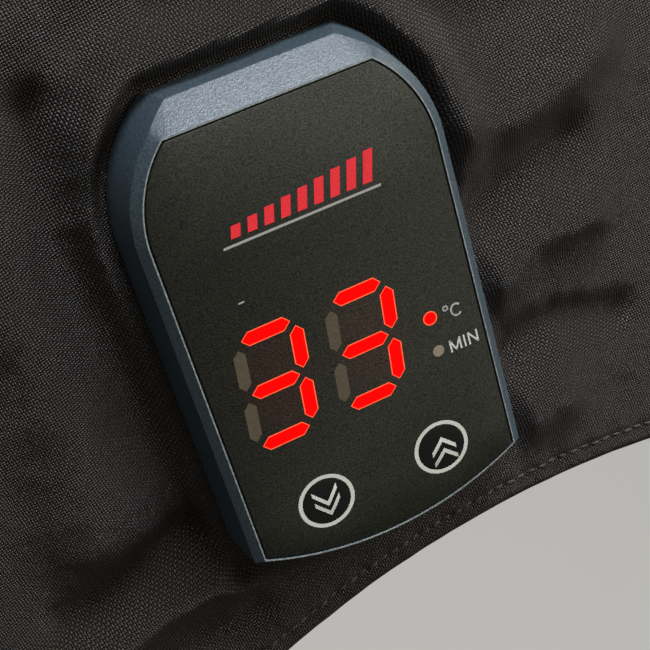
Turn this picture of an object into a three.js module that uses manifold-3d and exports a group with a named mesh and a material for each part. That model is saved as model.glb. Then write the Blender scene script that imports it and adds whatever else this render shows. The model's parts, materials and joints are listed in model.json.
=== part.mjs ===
// Tyre warmer for a motorcycle's rear wheel, closed to its ring and lying on one side
// Millimetres. Z is the ring's axis, the floor is Z = 0 and the controller is at +Y.

import * as THREE from "three";
import { mergeVertices } from "three/addons/utils/BufferGeometryUtils.js";
import Module from "manifold-3d";

const wasm = await Module();
wasm.setup();

const radians = THREE.MathUtils.degToRad;

// The tyre, and the room that the warmer leaves round it
const tyreRadius = 334;
const tyreWidth = 205;
const treadGap = 4;
const sideGap = 5.9;

// Cloth and filling
const clothThickness = 1.6;
const liningThickness = 1.2;
const matThickness = 1.5;
const insulationThickness = 6;
const layerGap = 0.3;
const liningMargin = 14;
const matMargin = 12;

// Side flaps, with their rounded shoulders and gathered hems
const shoulderRadius = 16;
const seamDrop = 8;
const flapReach = 134;
const hemRadius = tyreRadius - flapReach;
const hemWidth = 9;
const hemTunnel = 2.6;
const upperSlope = radians(4.5);
const elasticWidth = 3;
const elasticThickness = 0.9;
const elasticGap = 0.35;
const ringSegments = 80;
const layerSegments = 40;
const gatherCount = 20;
const gatherDepth = 9;
const gatherKnots = [
  { inward: 0, share: 1 },
  { inward: 22, share: 0.74 },
  { inward: 62, share: 0.22 },
];

// Closure of the strip's two ends
const closureAzimuth = radians(-45);
const closureSlot = 3;
const strapWidth = 100;
const strapSewn = radians(10);
const strapLap = radians(13);
const padThickness = 1;

// Mains gland
const glandFlangeRadius = 12;
const glandFlange = 2.5;
const glandNeck = 6;
const glandNeckRadius = 7.5;
const glandShankRadius = 6;
const glandBore = 3.5;
const glandDepth = 55;
const glandNutThickness = 3;
const glandNutRadius = 10;
const runningGap = 0.3;

// Controller: where it sits, and its housing
const controllerToHem = 52.5;
const controllerTurn = radians(-8.25);
const seatGap = 0.4;
const panelLevel = 13;
const housingWall = 2;
const panelHalfWidth = 26;
const panelTop = 53.9;
const panelArcRadius = 22.6;
const panelArcCentre = new THREE.Vector2(3.4, 37);
const panelBottomRadius = 61.2;
const panelBottomCentre = 28.7;
const panelLand = 0.6;
const sideBevelWidth = 2.3;
const sideBevelDrop = 1.6;
const bottomBevelWidth = 1.8;
const topBevelWidth = 5.1;
const topBevelDrop = 5.3;
const wallDraft = 1.5;
const topWallDraft = 0.3;

// Front film and its keys
const filmThickness = 0.8;
const filmGap = 0.3;
const roofThickness = 1.5;
const keyX = 12.03;
const keyY = -20.73;
const keyRadius = 4.8;
const keyRise = 0.5;
const keyHoleRadius = 5.2;

// Plates, board and screws
const basePlateThickness = 1.6;
const backingThickness = 2;
const boardThickness = 1.6;
const boardLevel = 6;
const bossRadius = 3;
const screwRadius = 1.5;
const screwHeadRadius = 2.8;
const screwHeadHeight = 1.8;
const screwReach = 9;
const screwPlaces = [[19, 36], [-19, 36], [-21, -12], [21, -12]];
const postRadius = 2;
const postPlaces = [[15, 26], [-15, 26], [0, -28]];
const leadHoleWidth = 24;
const leadHoleHeight = 15;

// Display and lamps
const digitCentres = [-13.93, 3.58];
const digitLevel = 5.98;
const digitSlant = 0.12;
const segmentLength = 8.7;
const uprightLength = 7.8;
const segmentWidth = 2.4;
const segmentSpread = 5.4;
const segmentRise = 10.3;
const displayWidth = 34.5;
const displayHeight = 25;
const displayCentreX = -5.2;
const guideThickness = 1;
const lampRadius = 1.2;
const lampX = 16.5;
const degreeLampY = 5.56;
const minuteLampY = -1.35;

// Key switches
const switchSize = 6.2;
const switchHeight = 3;
const plungerRadius = 1.7;
const plungerLength = 2.2;
const plungerRoom = 0.4;

// Components
const chipSize = 7;
const chipHeight = 1.2;
const chipY = 33;
const triacSize = [10, 14, 2.8];
const triacPlace = [8, 26];
const capacitorRadius = 1.5;
const capacitorLength = 9;
const capacitorPlace = [-10, -16];
const terminalSize = [20, 10, 3];

// Leads and sensor
const supplyLeadRadius = 2.25;
const heaterLeadRadius = 1.5;
const sensorLeadRadius = 1.2;
const leadPitch = 6;
const leadSides = 6;
const sensorSize = [10, 2.5, 14];
const sensorDepth = 44;
const tapeThickness = 1;
const tapeLength = 9;
const tapeToPanel = 2.1;
const tapeStart = panelTop + tapeToPanel;
const tapeFoot = 6;

// Radii of the tread band's layers, from the tyre outwards
const liningInner = tyreRadius + treadGap;
const liningOuter = liningInner + liningThickness;
const matInner = liningOuter + layerGap;
const matOuter = matInner + matThickness;
const insulationInner = matOuter + layerGap;
const insulationOuter = insulationInner + insulationThickness;
const coverInner = insulationOuter + layerGap;
const coverOuter = coverInner + clothThickness;

// Heights and places that follow
const height = tyreWidth + 2 * (sideGap + clothThickness);
const glandHeight = height - glandDepth;
const sensorTop = height - sensorDepth;
const shoulderCentre = coverOuter - shoulderRadius;
const seamDepth = shoulderRadius + seamDrop;
const coverMargin = seamDepth + layerGap;
const insulationMargin = shoulderRadius + layerGap;
const controllerRadius = hemRadius + controllerToHem;
const gatherKnotRadii = [...gatherKnots.map((knot) => hemRadius + knot.inward), shoulderCentre];
const gatherShares = [...gatherKnots.map((knot) => knot.share), 0];

// Colours and finishes
const clothFinish = { roughness: 0.95, metalness: 0 };
const cloth = new THREE.MeshStandardMaterial({ color: 0x231d1b, ...clothFinish });
const liningCloth = new THREE.MeshStandardMaterial({ color: 0x2c2c2e, ...clothFinish });
const felt = new THREE.MeshStandardMaterial({ color: 0x8c8a84, ...clothFinish });
const heatingRubber = new THREE.MeshStandardMaterial({ color: 0x8f3b2a, roughness: 0.7, metalness: 0 });
const elasticWeb = new THREE.MeshStandardMaterial({ color: 0x1a1a1c, ...clothFinish });
const tapeWeb = new THREE.MeshStandardMaterial({ color: 0x161618, ...clothFinish });
const housingPlastic = new THREE.MeshStandardMaterial({ color: 0x2f3b47, roughness: 0.55, metalness: 0.1 });
const filmPlastic = new THREE.MeshStandardMaterial({ color: 0x121212, roughness: 0.6, metalness: 0 });
const blackPlastic = new THREE.MeshStandardMaterial({ color: 0x1b1b1d, roughness: 0.6, metalness: 0 });
const boardLaminate = new THREE.MeshStandardMaterial({ color: 0x1f5a35, roughness: 0.5, metalness: 0 });
const litPlastic = new THREE.MeshStandardMaterial({ color: 0xf3190f, roughness: 0.4, metalness: 0 });
const clearPlastic = new THREE.MeshStandardMaterial({ color: 0xd8d4c8, roughness: 0.3, metalness: 0 });
const steel = new THREE.MeshStandardMaterial({ color: 0xb9bcc0, roughness: 0.35, metalness: 1 });
const rubber = new THREE.MeshStandardMaterial({ color: 0x141414, roughness: 0.8, metalness: 0 });
const sensorMetal = new THREE.MeshStandardMaterial({ color: 0xc9a25a, roughness: 0.4, metalness: 1 });

// Joining and cutting
function toSolid(geometry) {
  const bare = geometry.clone();
  bare.deleteAttribute("normal");
  bare.deleteAttribute("uv");
  const merged = mergeVertices(bare, 1e-4);
  const vertProperties = new Float32Array(merged.attributes.position.array);
  const triVerts = new Uint32Array(merged.index.array);
  return new wasm.Manifold(new wasm.Mesh({ numProp: 3, vertProperties, triVerts }));
}

function toGeometry(solid) {
  const mesh = solid.getMesh();
  const geometry = new THREE.BufferGeometry();
  geometry.setAttribute("position", new THREE.BufferAttribute(mesh.vertProperties, 3));
  geometry.setIndex(new THREE.BufferAttribute(mesh.triVerts, 1));
  return geometry;
}

function cut(body, tools) {
  return toGeometry(tools.reduce((solid, tool) => solid.subtract(toSolid(tool)), toSolid(body)));
}

function join(pieces) {
  const [first, ...others] = pieces.map(toSolid);
  return toGeometry(others.reduce((solid, piece) => solid.add(piece), first));
}

function named(name, geometry, material) {
  const mesh = new THREE.Mesh(geometry, material);
  mesh.name = name;
  return mesh;
}

// Plain shapes
function block(width, depth, tall, x, y, base) {
  return new THREE.BoxGeometry(width, depth, tall).translate(x, y, base + tall / 2);
}

function rod(radius, low, high, x, y, sides = 12) {
  return new THREE.CylinderGeometry(radius, radius, high - low, sides)
    .rotateX(Math.PI / 2)
    .translate(x, y, (low + high) / 2);
}

function plate(shape, low, high) {
  return new THREE.ExtrudeGeometry(shape, { depth: high - low, bevelEnabled: false, curveSegments: 6 })
    .translate(0, 0, low);
}

// A ring round Z. The profile lists [radius, height] pairs once round the section.
function ring(profile, segments) {
  const points = [...profile, profile[0]].map(([radius, z]) => new THREE.Vector2(radius, z));
  return new THREE.LatheGeometry(points, segments).rotateX(Math.PI / 2);
}

function hoop(inner, outer, margin, segments) {
  const low = margin;
  const high = height - margin;
  return ring([[inner, low], [outer, low], [outer, high], [inner, high]], segments);
}

// The gap between the strip's two ends
const endGap = block(coverOuter * 2, closureSlot, height * 2, coverOuter, 0, -height / 2)
  .rotateZ(closureAzimuth);

// Gathers: cloth pushed into the warmer, most at the hem, none beside the controller or the closure
function smooth(value, start, end) {
  return THREE.MathUtils.smoothstep(value, start, end);
}

function turnFrom(azimuth, centre) {
  return Math.abs(Math.atan2(Math.sin(azimuth - centre), Math.cos(azimuth - centre)));
}

function gatherShare(radius) {
  const next = gatherKnotRadii.findIndex((knot) => radius <= knot + 1e-3);
  if (next < 0) {
    return 0;
  }
  if (next === 0) {
    return gatherShares[0];
  }
  const part = (radius - gatherKnotRadii[next - 1]) / (gatherKnotRadii[next] - gatherKnotRadii[next - 1]);
  return THREE.MathUtils.lerp(gatherShares[next - 1], gatherShares[next], part);
}

function gatherAt(azimuth, radius) {
  const besideController = smooth(turnFrom(azimuth, Math.PI / 2), radians(18), radians(36));
  const besideClosure = smooth(turnFrom(azimuth, closureAzimuth), radians(4), radians(18));
  const uneven = 1 + 0.2 * Math.sin(3 * azimuth + 1) - 0.15 * Math.cos(7 * azimuth);
  const wave = (1 - Math.cos(gatherCount * azimuth)) / 2;
  return gatherDepth * gatherShare(radius) * besideController * besideClosure * uneven * wave;
}

function gathered(geometry, inwards) {
  const place = geometry.attributes.position;
  for (let i = 0; i < place.count; i += 1) {
    const x = place.getX(i);
    const y = place.getY(i);
    place.setZ(i, place.getZ(i) + inwards * gatherAt(Math.atan2(y, x), Math.hypot(x, y)));
  }
  return geometry;
}

// Side flap sections, as [radius, depth into the warmer] pairs
function fallAt(radius, slope) {
  return (shoulderCentre - radius) * Math.tan(slope);
}

function flapSection(slope) {
  const fall = (radius, depth) => [radius, fallAt(radius, slope) + depth];
  const inside = shoulderRadius - clothThickness;
  const across = Math.SQRT1_2;
  const knots = gatherKnotRadii.slice(1, -1).reverse();
  const hemEnd = hemRadius + hemWidth;
  const tunnelStart = hemRadius + clothThickness;
  return [
    [coverOuter, seamDepth],
    [coverOuter, shoulderRadius],
    [shoulderCentre + shoulderRadius * across, shoulderRadius * (1 - across)],
    [shoulderCentre, 0],
    ...knots.map((radius) => fall(radius, 0)),
    fall(hemRadius, 0),
    fall(hemRadius, 2 * clothThickness + hemTunnel),
    fall(hemEnd, 2 * clothThickness + layerGap),
    fall(hemEnd, clothThickness + layerGap),
    fall(tunnelStart, clothThickness + hemTunnel),
    fall(tunnelStart, clothThickness),
    fall(hemEnd, clothThickness),
    ...[...knots].reverse().map((radius) => fall(radius, clothThickness)),
    [shoulderCentre, clothThickness],
    [shoulderCentre + inside * across, shoulderRadius - inside * across],
    [shoulderCentre + inside, shoulderRadius],
    [shoulderCentre + inside, seamDepth],
  ];
}

function elasticSection(slope) {
  const start = hemRadius + clothThickness + elasticGap;
  const top = clothThickness + elasticGap;
  const fall = (radius, depth) => [radius, fallAt(radius, slope) + depth];
  return [
    fall(start + elasticWidth, top),
    fall(start, top),
    fall(start, top + elasticThickness),
    fall(start + elasticWidth, top + elasticThickness),
  ];
}

function upperRing(section) {
  const profile = section.map(([radius, depth]) => [radius, height - depth]);
  return cut(gathered(ring(profile, ringSegments), -1), [endGap]);
}

function lowerRing(section) {
  const profile = section.map(([radius, depth]) => [radius, depth]).reverse();
  return cut(gathered(ring(profile, ringSegments), 1), [endGap]);
}

// The controller's seat: its origin lies on the upper flap's outer face, its Z along the face's normal
const seat = new THREE.Group();
seat.position.set(0, controllerRadius, height - fallAt(controllerRadius, upperSlope));
seat.rotation.x = upperSlope;
seat.updateMatrixWorld();

const controller = new THREE.Group();
controller.rotation.z = controllerTurn;
seat.add(controller);
seat.updateMatrixWorld(true);

function seated(geometry) {
  return geometry.clone().applyMatrix4(controller.matrixWorld);
}

function onFlap(x, run, level) {
  return new THREE.Vector3(x, run, level).applyMatrix4(seat.matrixWorld);
}

// The controller's outline, grown by an amount at its sides, top and bottom
function outlinePoints(side, top, bottom) {
  const ridge = Math.asin((panelTop + panelLand - panelArcCentre.y) / (panelArcRadius + panelLand));
  const arcRadius = panelArcRadius + side;
  const cornerY = panelTop + top;
  const corner = Math.asin(Math.min(1, (cornerY - panelArcCentre.y) / arcRadius));
  const cornerX = panelArcCentre.x + arcRadius * Math.cos(corner);
  const bottomRadius = panelBottomRadius + bottom;
  const bottomTurn = Math.asin((panelHalfWidth + side) / bottomRadius);
  const half = [];
  for (const share of [0.25, 0.5, 0.75, 1]) {
    const turn = bottomTurn * share;
    half.push([bottomRadius * Math.sin(turn), panelBottomCentre - bottomRadius * Math.cos(turn)]);
  }
  const last = Math.min(corner, ridge);
  for (let i = 0; i <= 6; i += 1) {
    const turn = (last * i) / 6;
    half.push([
      panelArcCentre.x + arcRadius * Math.cos(turn),
      panelArcCentre.y + arcRadius * Math.sin(turn),
    ]);
  }
  for (const share of [1 / 3, 2 / 3, 1]) {
    const turn = THREE.MathUtils.lerp(last, corner, share);
    const along = corner > ridge
      ? [panelArcCentre.x + arcRadius * Math.cos(turn), panelArcCentre.y + arcRadius * Math.sin(turn)]
      : [cornerX - 1.2 * share, cornerY];
    half.push(along);
  }
  const right = half.map(([x, y]) => new THREE.Vector2(x, y));
  const left = right.map((point) => new THREE.Vector2(-point.x, point.y)).reverse();
  const foot = new THREE.Vector2(0, panelBottomCentre - bottomRadius);
  const head = new THREE.Vector2(0, cornerY);
  return [foot, ...right, head, ...left];
}

function outline(side, top, bottom) {
  return new THREE.Shape(outlinePoints(side, top, bottom));
}

// A closed skin through rings of matching points, from the lowest ring to the highest
function loft(rings) {
  const count = rings[0].length;
  const vertices = rings.flat().flatMap((point) => [point.x, point.y, point.z]);
  const faces = [];
  for (let level = 0; level + 1 < rings.length; level += 1) {
    for (let i = 0; i < count; i += 1) {
      const a = level * count + i;
      const b = level * count + ((i + 1) % count);
      faces.push(a, b, b + count, a, b + count, a + count);
    }
  }
  const flat = (points) => points.map((point) => new THREE.Vector2(point.x, point.y));
  const top = (rings.length - 1) * count;
  for (const [a, b, c] of THREE.ShapeUtils.triangulateShape(flat(rings.at(-1)), [])) {
    faces.push(top + a, top + b, top + c);
  }
  for (const [a, b, c] of THREE.ShapeUtils.triangulateShape(flat(rings[0]), [])) {
    faces.push(c, b, a);
  }
  const geometry = new THREE.BufferGeometry();
  geometry.setAttribute("position", new THREE.Float32BufferAttribute(vertices, 3));
  geometry.setIndex(faces);
  return geometry;
}

function levelRing(points, levelOf) {
  return points.map((point) => new THREE.Vector3(point.x, point.y, levelOf(point)));
}

// Housing
const roofLevel = panelLevel - filmThickness - filmGap - roofThickness;
const screwHole = screwRadius + runningGap;

function bevelLevel(point) {
  const topDrop = ((point.y - panelTop) * topBevelDrop) / topBevelWidth;
  return panelLevel - Math.max(sideBevelDrop, topDrop);
}

function housing() {
  const edge = outlinePoints(panelLand, panelLand, panelLand);
  const rim = outlinePoints(sideBevelWidth, topBevelWidth, bottomBevelWidth);
  const foot = outlinePoints(
    sideBevelWidth + wallDraft,
    topBevelWidth + topWallDraft,
    bottomBevelWidth + wallDraft / 2,
  );
  const outside = loft([
    levelRing(foot, () => seatGap),
    levelRing(rim, bevelLevel),
    levelRing(edge, () => panelLevel),
  ]);
  const mouth = outlinePoints(
    sideBevelWidth + wallDraft - housingWall,
    topBevelWidth + topWallDraft - housingWall,
    bottomBevelWidth + wallDraft / 2 - housingWall,
  );
  const ceiling = outlinePoints(
    sideBevelWidth - housingWall,
    (topBevelWidth * (panelLevel - roofLevel)) / topBevelDrop - housingWall - runningGap,
    bottomBevelWidth - housingWall,
  );
  const hollow = loft([
    levelRing(mouth, () => seatGap - 1),
    levelRing(ceiling, () => roofLevel),
  ]);
  const filmRecess = plate(outline(filmGap, filmGap, filmGap), roofLevel + roofThickness, panelLevel + 1);
  const window = block(
    displayWidth + 2 * runningGap,
    displayHeight + 2 * runningGap,
    2 * roofThickness + 1,
    displayCentreX,
    digitLevel,
    roofLevel - 1,
  );
  const throughRoof = (radius, x, y) => rod(radius, roofLevel - 1, panelLevel, x, y, 12);
  const shell = cut(outside, [
    hollow,
    filmRecess,
    window,
    throughRoof(keyHoleRadius, keyX, keyY),
    throughRoof(keyHoleRadius, -keyX, keyY),
    throughRoof(lampRadius + runningGap, lampX, degreeLampY),
    throughRoof(lampRadius + runningGap, lampX, minuteLampY),
  ]);
  const bossFoot = seatGap + basePlateThickness + 2 * runningGap;
  const bosses = screwPlaces.map(([x, y]) => rod(bossRadius, bossFoot, roofLevel + roofThickness / 2, x, y, 10));
  const pilots = screwPlaces.map(([x, y]) => rod(screwHole, bossFoot - 1, screwReach + runningGap, x, y, 8));
  return cut(join([shell, ...bosses]), pilots);
}

// Front film, with the keys embossed in it
function film() {
  const flat = cut(plate(outline(0, 0, 0), panelLevel - filmThickness, panelLevel), [
    rod(keyRadius, panelLevel - 2, panelLevel + 1, keyX, keyY, 20),
    rod(keyRadius, panelLevel - 2, panelLevel + 1, -keyX, keyY, 20),
  ]);
  const lip = 0.4;
  const profile = [
    [0, panelLevel - filmThickness + keyRise],
    [keyRadius * 0.5, panelLevel - filmThickness + keyRise * 0.8],
    [keyRadius + lip, panelLevel - filmThickness],
    [keyRadius + lip, panelLevel],
    [keyRadius, panelLevel],
    [keyRadius * 0.75, panelLevel + keyRise * 0.5],
    [keyRadius * 0.4, panelLevel + keyRise * 0.9],
    [0, panelLevel + keyRise],
  ].map(([radius, z]) => new THREE.Vector2(radius, z));
  const dome = new THREE.LatheGeometry(profile, 20).rotateX(Math.PI / 2);
  return join([
    flat,
    dome.clone().translate(keyX, keyY, 0),
    dome.clone().translate(-keyX, keyY, 0),
  ]);
}

// Plates under the housing
function leadSlot() {
  const reach = leadHoleWidth / 2 - leadHoleHeight / 2;
  const shape = new THREE.Shape();
  shape.absarc(reach, 0, leadHoleHeight / 2, -Math.PI / 2, Math.PI / 2);
  shape.absarc(-reach, 0, leadHoleHeight / 2, Math.PI / 2, (3 * Math.PI) / 2);
  return shape;
}

function plateHoles(low, high) {
  return [
    plate(leadSlot(), low - 1, high + 1),
    ...screwPlaces.map(([x, y]) => rod(screwHole, low - 1, high + 1, x, y, 8)),
  ];
}

const basePlateLow = seatGap + 0.2;
const basePlateHigh = basePlateLow + basePlateThickness;
const backingHigh = -clothThickness - layerGap;
const backingLow = backingHigh - backingThickness;

function basePlate() {
  const inset = housingWall + 3 * runningGap;
  const shape = outline(
    sideBevelWidth + wallDraft - inset,
    topBevelWidth + topWallDraft - inset - runningGap,
    bottomBevelWidth + wallDraft / 2 - inset,
  );
  const flat = cut(plate(shape, basePlateLow, basePlateHigh), plateHoles(basePlateLow, basePlateHigh));
  const posts = postPlaces.map(([x, y]) => rod(postRadius, basePlateHigh - 0.5, boardLevel - layerGap, x, y));
  return join([flat, ...posts]);
}

function backingPlate() {
  const shape = outline(0, -housingWall, 0);
  return cut(plate(shape, backingLow, backingHigh), plateHoles(backingLow, backingHigh));
}

function screw(x, y) {
  const headTop = backingLow - layerGap;
  return join([
    rod(screwHeadRadius, headTop - screwHeadHeight, headTop, x, y, 10),
    rod(screwRadius, headTop - screwHeadHeight / 2, screwReach, x, y, 8),
  ]);
}

// Board and what is on it
const boardTop = boardLevel + boardThickness;
const partsLevel = boardTop + layerGap;
const underParts = boardLevel - layerGap;
const filmUnderside = panelLevel - filmThickness;
const lightTop = filmUnderside - layerGap;

function board() {
  const shape = outline(-0.5, -3, -1.5);
  const notches = screwPlaces.map(([x, y]) => rod(bossRadius + runningGap, 0, panelLevel, x, y));
  return cut(plate(shape, boardLevel, boardTop), notches);
}

// One bar of a digit, a hexagon with pointed ends, centred on the origin along X
function barShape(length, width) {
  const half = length / 2;
  const shoulder = half - width / 2;
  return [
    [-half, 0], [-shoulder, -width / 2], [shoulder, -width / 2],
    [half, 0], [shoulder, width / 2], [-shoulder, width / 2],
  ];
}

function digitBars(shrink) {
  const across = (level) => ({ length: segmentLength, turn: 0, x: 0, y: level });
  const upright = (side, level) => ({ length: uprightLength, turn: Math.PI / 2, x: side, y: level });
  const bars = [
    across(segmentRise),
    across(0),
    across(-segmentRise),
    upright(segmentSpread, segmentRise / 2),
    upright(-segmentSpread, segmentRise / 2),
    upright(segmentSpread, -segmentRise / 2),
    upright(-segmentSpread, -segmentRise / 2),
  ];
  return digitCentres.flatMap((centre) => bars.map((bar) => {
    const points = barShape(bar.length - 2 * shrink, segmentWidth - 2 * shrink).map(([x, y]) => {
      const turned = new THREE.Vector2(x, y).rotateAround(new THREE.Vector2(), bar.turn);
      const level = turned.y + bar.y;
      return new THREE.Vector2(turned.x + bar.x + digitSlant * level + centre, level + digitLevel);
    });
    return new THREE.Shape(points);
  }));
}

const guideTop = partsLevel + guideThickness;

function lightGuide() {
  const slab = block(
    displayWidth - 2,
    displayHeight - 2,
    guideThickness,
    displayCentreX,
    digitLevel,
    partsLevel,
  );
  return join([slab, ...digitBars(0.3).map((shape) => plate(shape, guideTop - 0.4, lightTop))]);
}

function reflector() {
  const low = guideTop + layerGap;
  const body = block(displayWidth, displayHeight, lightTop - low, displayCentreX, digitLevel, low);
  return cut(body, digitBars(0).map((shape) => plate(shape, low - 1, lightTop + 1)));
}

const switchTop = partsLevel + switchHeight;
const plungerLow = lightTop - plungerLength;

function switchBody(x) {
  const body = block(switchSize, switchSize, switchHeight, x, keyY, partsLevel);
  return cut(body, [rod(plungerRadius + runningGap, plungerLow - plungerRoom, switchTop + 1, x, keyY)]);
}

function plunger(x) {
  return rod(plungerRadius, plungerLow, lightTop, x, keyY);
}

// Leads, held to the flap's inner face from the controller to the band
function lead(points, radius, steps) {
  const section = new THREE.Shape();
  section.absarc(0, 0, radius, 0, 2 * Math.PI);
  return new THREE.ExtrudeGeometry(section, {
    steps,
    curveSegments: leadSides / 2,
    extrudePath: new THREE.CatmullRomCurve3(points, false, "centripetal"),
  });
}

const leadTop = boardLevel - layerGap - terminalSize[2] - layerGap;
const leadRun = backingLow - layerGap - supplyLeadRadius;
const tapeEnd = tapeStart + tapeLength;
const matTop = height - matMargin;
const matMiddle = (matInner + matOuter) / 2;

const shoulderRun = shoulderCentre - controllerRadius;
const tapeEndRadius = controllerRadius + tapeEnd;

function leadStart(x) {
  return [
    onFlap(x, 0, leadTop),
    onFlap(x, 0, 0.5),
    onFlap(x, 1.2, -3.2),
    onFlap(x, 6, leadRun),
    onFlap(x, 20, leadRun),
    onFlap(x, 40, leadRun),
    onFlap(x, tapeStart, leadRun),
  ];
}

const sensorX = -leadPitch;
const sensorReach = Math.abs(sensorX) + sensorSize[0] / 2;
const sensorFace = liningInner - sensorReach * Math.tan(Math.PI / layerSegments) - layerGap;
const sensorMiddle = sensorFace - sensorSize[1] / 2;

const heaterLead = lead([
  ...leadStart(0),
  onFlap(0, tapeEnd, leadRun),
  onFlap(0, THREE.MathUtils.lerp(tapeEnd, shoulderRun, 0.51), leadRun - 0.6),
  new THREE.Vector3(0, matMiddle - 3, height - 7.5),
  new THREE.Vector3(0, matMiddle, height - 9.5),
  new THREE.Vector3(0, matMiddle, matTop + layerGap),
], heaterLeadRadius, 20);

const sensorLead = lead([
  ...leadStart(sensorX),
  onFlap(sensorX, tapeEnd, leadRun),
  new THREE.Vector3(sensorX, sensorMiddle - 4.5, height - 16),
  new THREE.Vector3(sensorX, sensorMiddle - 1, height - 24),
  new THREE.Vector3(sensorX, sensorMiddle, sensorTop + 12),
  new THREE.Vector3(sensorX, sensorMiddle, sensorTop + layerGap),
], sensorLeadRadius, 24);

// The gland sits in the middle of one flat of the cover, a little to the controller's right
const flatTurn = Math.PI / ringSegments;
const glandAzimuth = Math.PI / 2 - 7 * flatTurn;
const coverFlatOut = coverOuter * Math.cos(flatTurn);
const coverFlatIn = coverInner * Math.cos(flatTurn);

function radial(geometry) {
  return geometry.rotateZ(-Math.PI / 2).rotateZ(glandAzimuth).translate(0, 0, glandHeight);
}

function glandLathe(pairs) {
  const points = [...pairs, pairs[0]].map(([radius, reach]) => new THREE.Vector2(radius, reach));
  return radial(new THREE.LatheGeometry(points, 16));
}

function glandDrill(radius, low, high) {
  return radial(new THREE.CylinderGeometry(radius, radius, high - low, 16).translate(0, (low + high) / 2, 0));
}

const glandSeat = coverFlatOut + layerGap;
const glandNutOut = coverFlatIn - layerGap;
const glandNutIn = glandNutOut - glandNutThickness;
const glandInner = glandNutIn - 1;

function atGland(radius, level) {
  return new THREE.Vector3(radius * Math.cos(glandAzimuth), radius * Math.sin(glandAzimuth), level);
}

// Shares of the way from the tape to the gland: round the ring, out to the lining, and down
function toGland(around, outwards, down) {
  const azimuth = THREE.MathUtils.lerp(Math.PI / 2, glandAzimuth, around);
  const radius = THREE.MathUtils.lerp(tapeEndRadius, liningInner, outwards);
  const level = THREE.MathUtils.lerp(height - 13, glandHeight, down);
  return new THREE.Vector3(radius * Math.cos(azimuth), radius * Math.sin(azimuth), level);
}

const supplyLead = lead([
  ...leadStart(leadPitch),
  onFlap(leadPitch, tapeEnd, leadRun),
  onFlap(leadPitch, THREE.MathUtils.lerp(tapeEnd, shoulderRun, 0.25), leadRun),
  toGland(0.155, 0.53, 0),
  toGland(0.354, 0.59, 0.12),
  toGland(0.614, 0.5, 0.36),
  toGland(0.894, 0.56, 0.69),
  toGland(0.991, 0.64, 0.93),
  atGland(liningInner - 2, glandHeight),
  atGland(insulationOuter - 2, glandHeight),
  atGland(glandSeat + glandFlange, glandHeight),
], supplyLeadRadius, 30);

// The ring
const warmer = new THREE.Group();
const leadThroughBand = glandDrill(supplyLeadRadius + 1.5, liningInner - 20, coverOuter + 20);
const flapDrills = plateHoles(-4 * clothThickness, clothThickness).map(seated);

warmer.add(named(
  "tread_cover",
  cut(hoop(coverInner, coverOuter, coverMargin, ringSegments), [
    endGap,
    glandDrill(glandShankRadius + runningGap, coverInner - 5, coverOuter + 5),
  ]),
  cloth,
));
warmer.add(named(
  "insulation_layer",
  cut(hoop(insulationInner, insulationOuter, insulationMargin, layerSegments), [
    endGap,
    glandDrill(glandNutRadius + runningGap, insulationInner - 5, insulationOuter + 5),
  ]),
  felt,
));
warmer.add(named(
  "heating_mat",
  cut(hoop(matInner, matOuter, matMargin, layerSegments), [endGap, leadThroughBand]),
  heatingRubber,
));
warmer.add(named(
  "inner_lining",
  cut(hoop(liningInner, liningOuter, liningMargin, layerSegments), [endGap, leadThroughBand]),
  liningCloth,
));
warmer.add(named("upper_side_flap", cut(upperRing(flapSection(upperSlope)), flapDrills), cloth));
warmer.add(named("lower_side_flap", lowerRing(flapSection(0)), cloth));
warmer.add(named("upper_hem_elastic", upperRing(elasticSection(upperSlope)), elasticWeb));
warmer.add(named("lower_hem_elastic", lowerRing(elasticSection(0)), elasticWeb));

// Closing strap: sewn to one end of the cover, hooked to a pad on the other
function bandShape(start, end, innerAt, outerAt) {
  const steps = Math.max(2, Math.round((end - start) / radians(2)));
  const turns = Array.from({ length: steps + 1 }, (_, i) => start + ((end - start) * i) / steps);
  const at = (turn, radius) => new THREE.Vector2(
    radius * Math.cos(closureAzimuth + turn),
    radius * Math.sin(closureAzimuth + turn),
  );
  return new THREE.Shape([
    ...turns.map((turn) => at(turn, outerAt(turn))),
    ...turns.reverse().map((turn) => at(turn, innerAt(turn))),
  ]);
}

function band(start, end, innerAt, outerAt) {
  const low = (height - strapWidth) / 2;
  return plate(bandShape(start, end, innerAt, outerAt), low, low + strapWidth);
}

const loopInner = coverOuter + layerGap;
const hookInner = loopInner + padThickness + layerGap;
const strapInner = hookInner + padThickness + layerGap;
const lapStart = radians(0.7);
const strapAt = (turn) => THREE.MathUtils.lerp(loopInner, strapInner, smooth(turn, radians(-1.5), 0));

warmer.add(named(
  "closing_strap",
  band(-strapSewn, strapLap, strapAt, (turn) => strapAt(turn) + clothThickness),
  cloth,
));
warmer.add(named(
  "hook_pad",
  band(lapStart, strapLap - lapStart, () => hookInner, () => hookInner + padThickness),
  tapeWeb,
));
warmer.add(named(
  "loop_pad",
  band(lapStart, strapLap + lapStart, () => loopInner, () => loopInner + padThickness),
  tapeWeb,
));

// Gland in the cover
warmer.add(named("mains_gland", glandLathe([
  [glandBore, glandInner],
  [glandShankRadius, glandInner],
  [glandShankRadius, glandSeat],
  [glandFlangeRadius, glandSeat],
  [glandFlangeRadius, glandSeat + glandFlange],
  [glandNeckRadius, glandSeat + glandFlange],
  [glandNeckRadius - 1, glandSeat + glandFlange + glandNeck],
  [glandBore, glandSeat + glandFlange + glandNeck],
]), rubber));
warmer.add(named("gland_nut", glandLathe([
  [glandShankRadius + runningGap, glandNutIn],
  [glandNutRadius, glandNutIn],
  [glandNutRadius, glandNutOut],
  [glandShankRadius + runningGap, glandNutOut],
]), blackPlastic));

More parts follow.
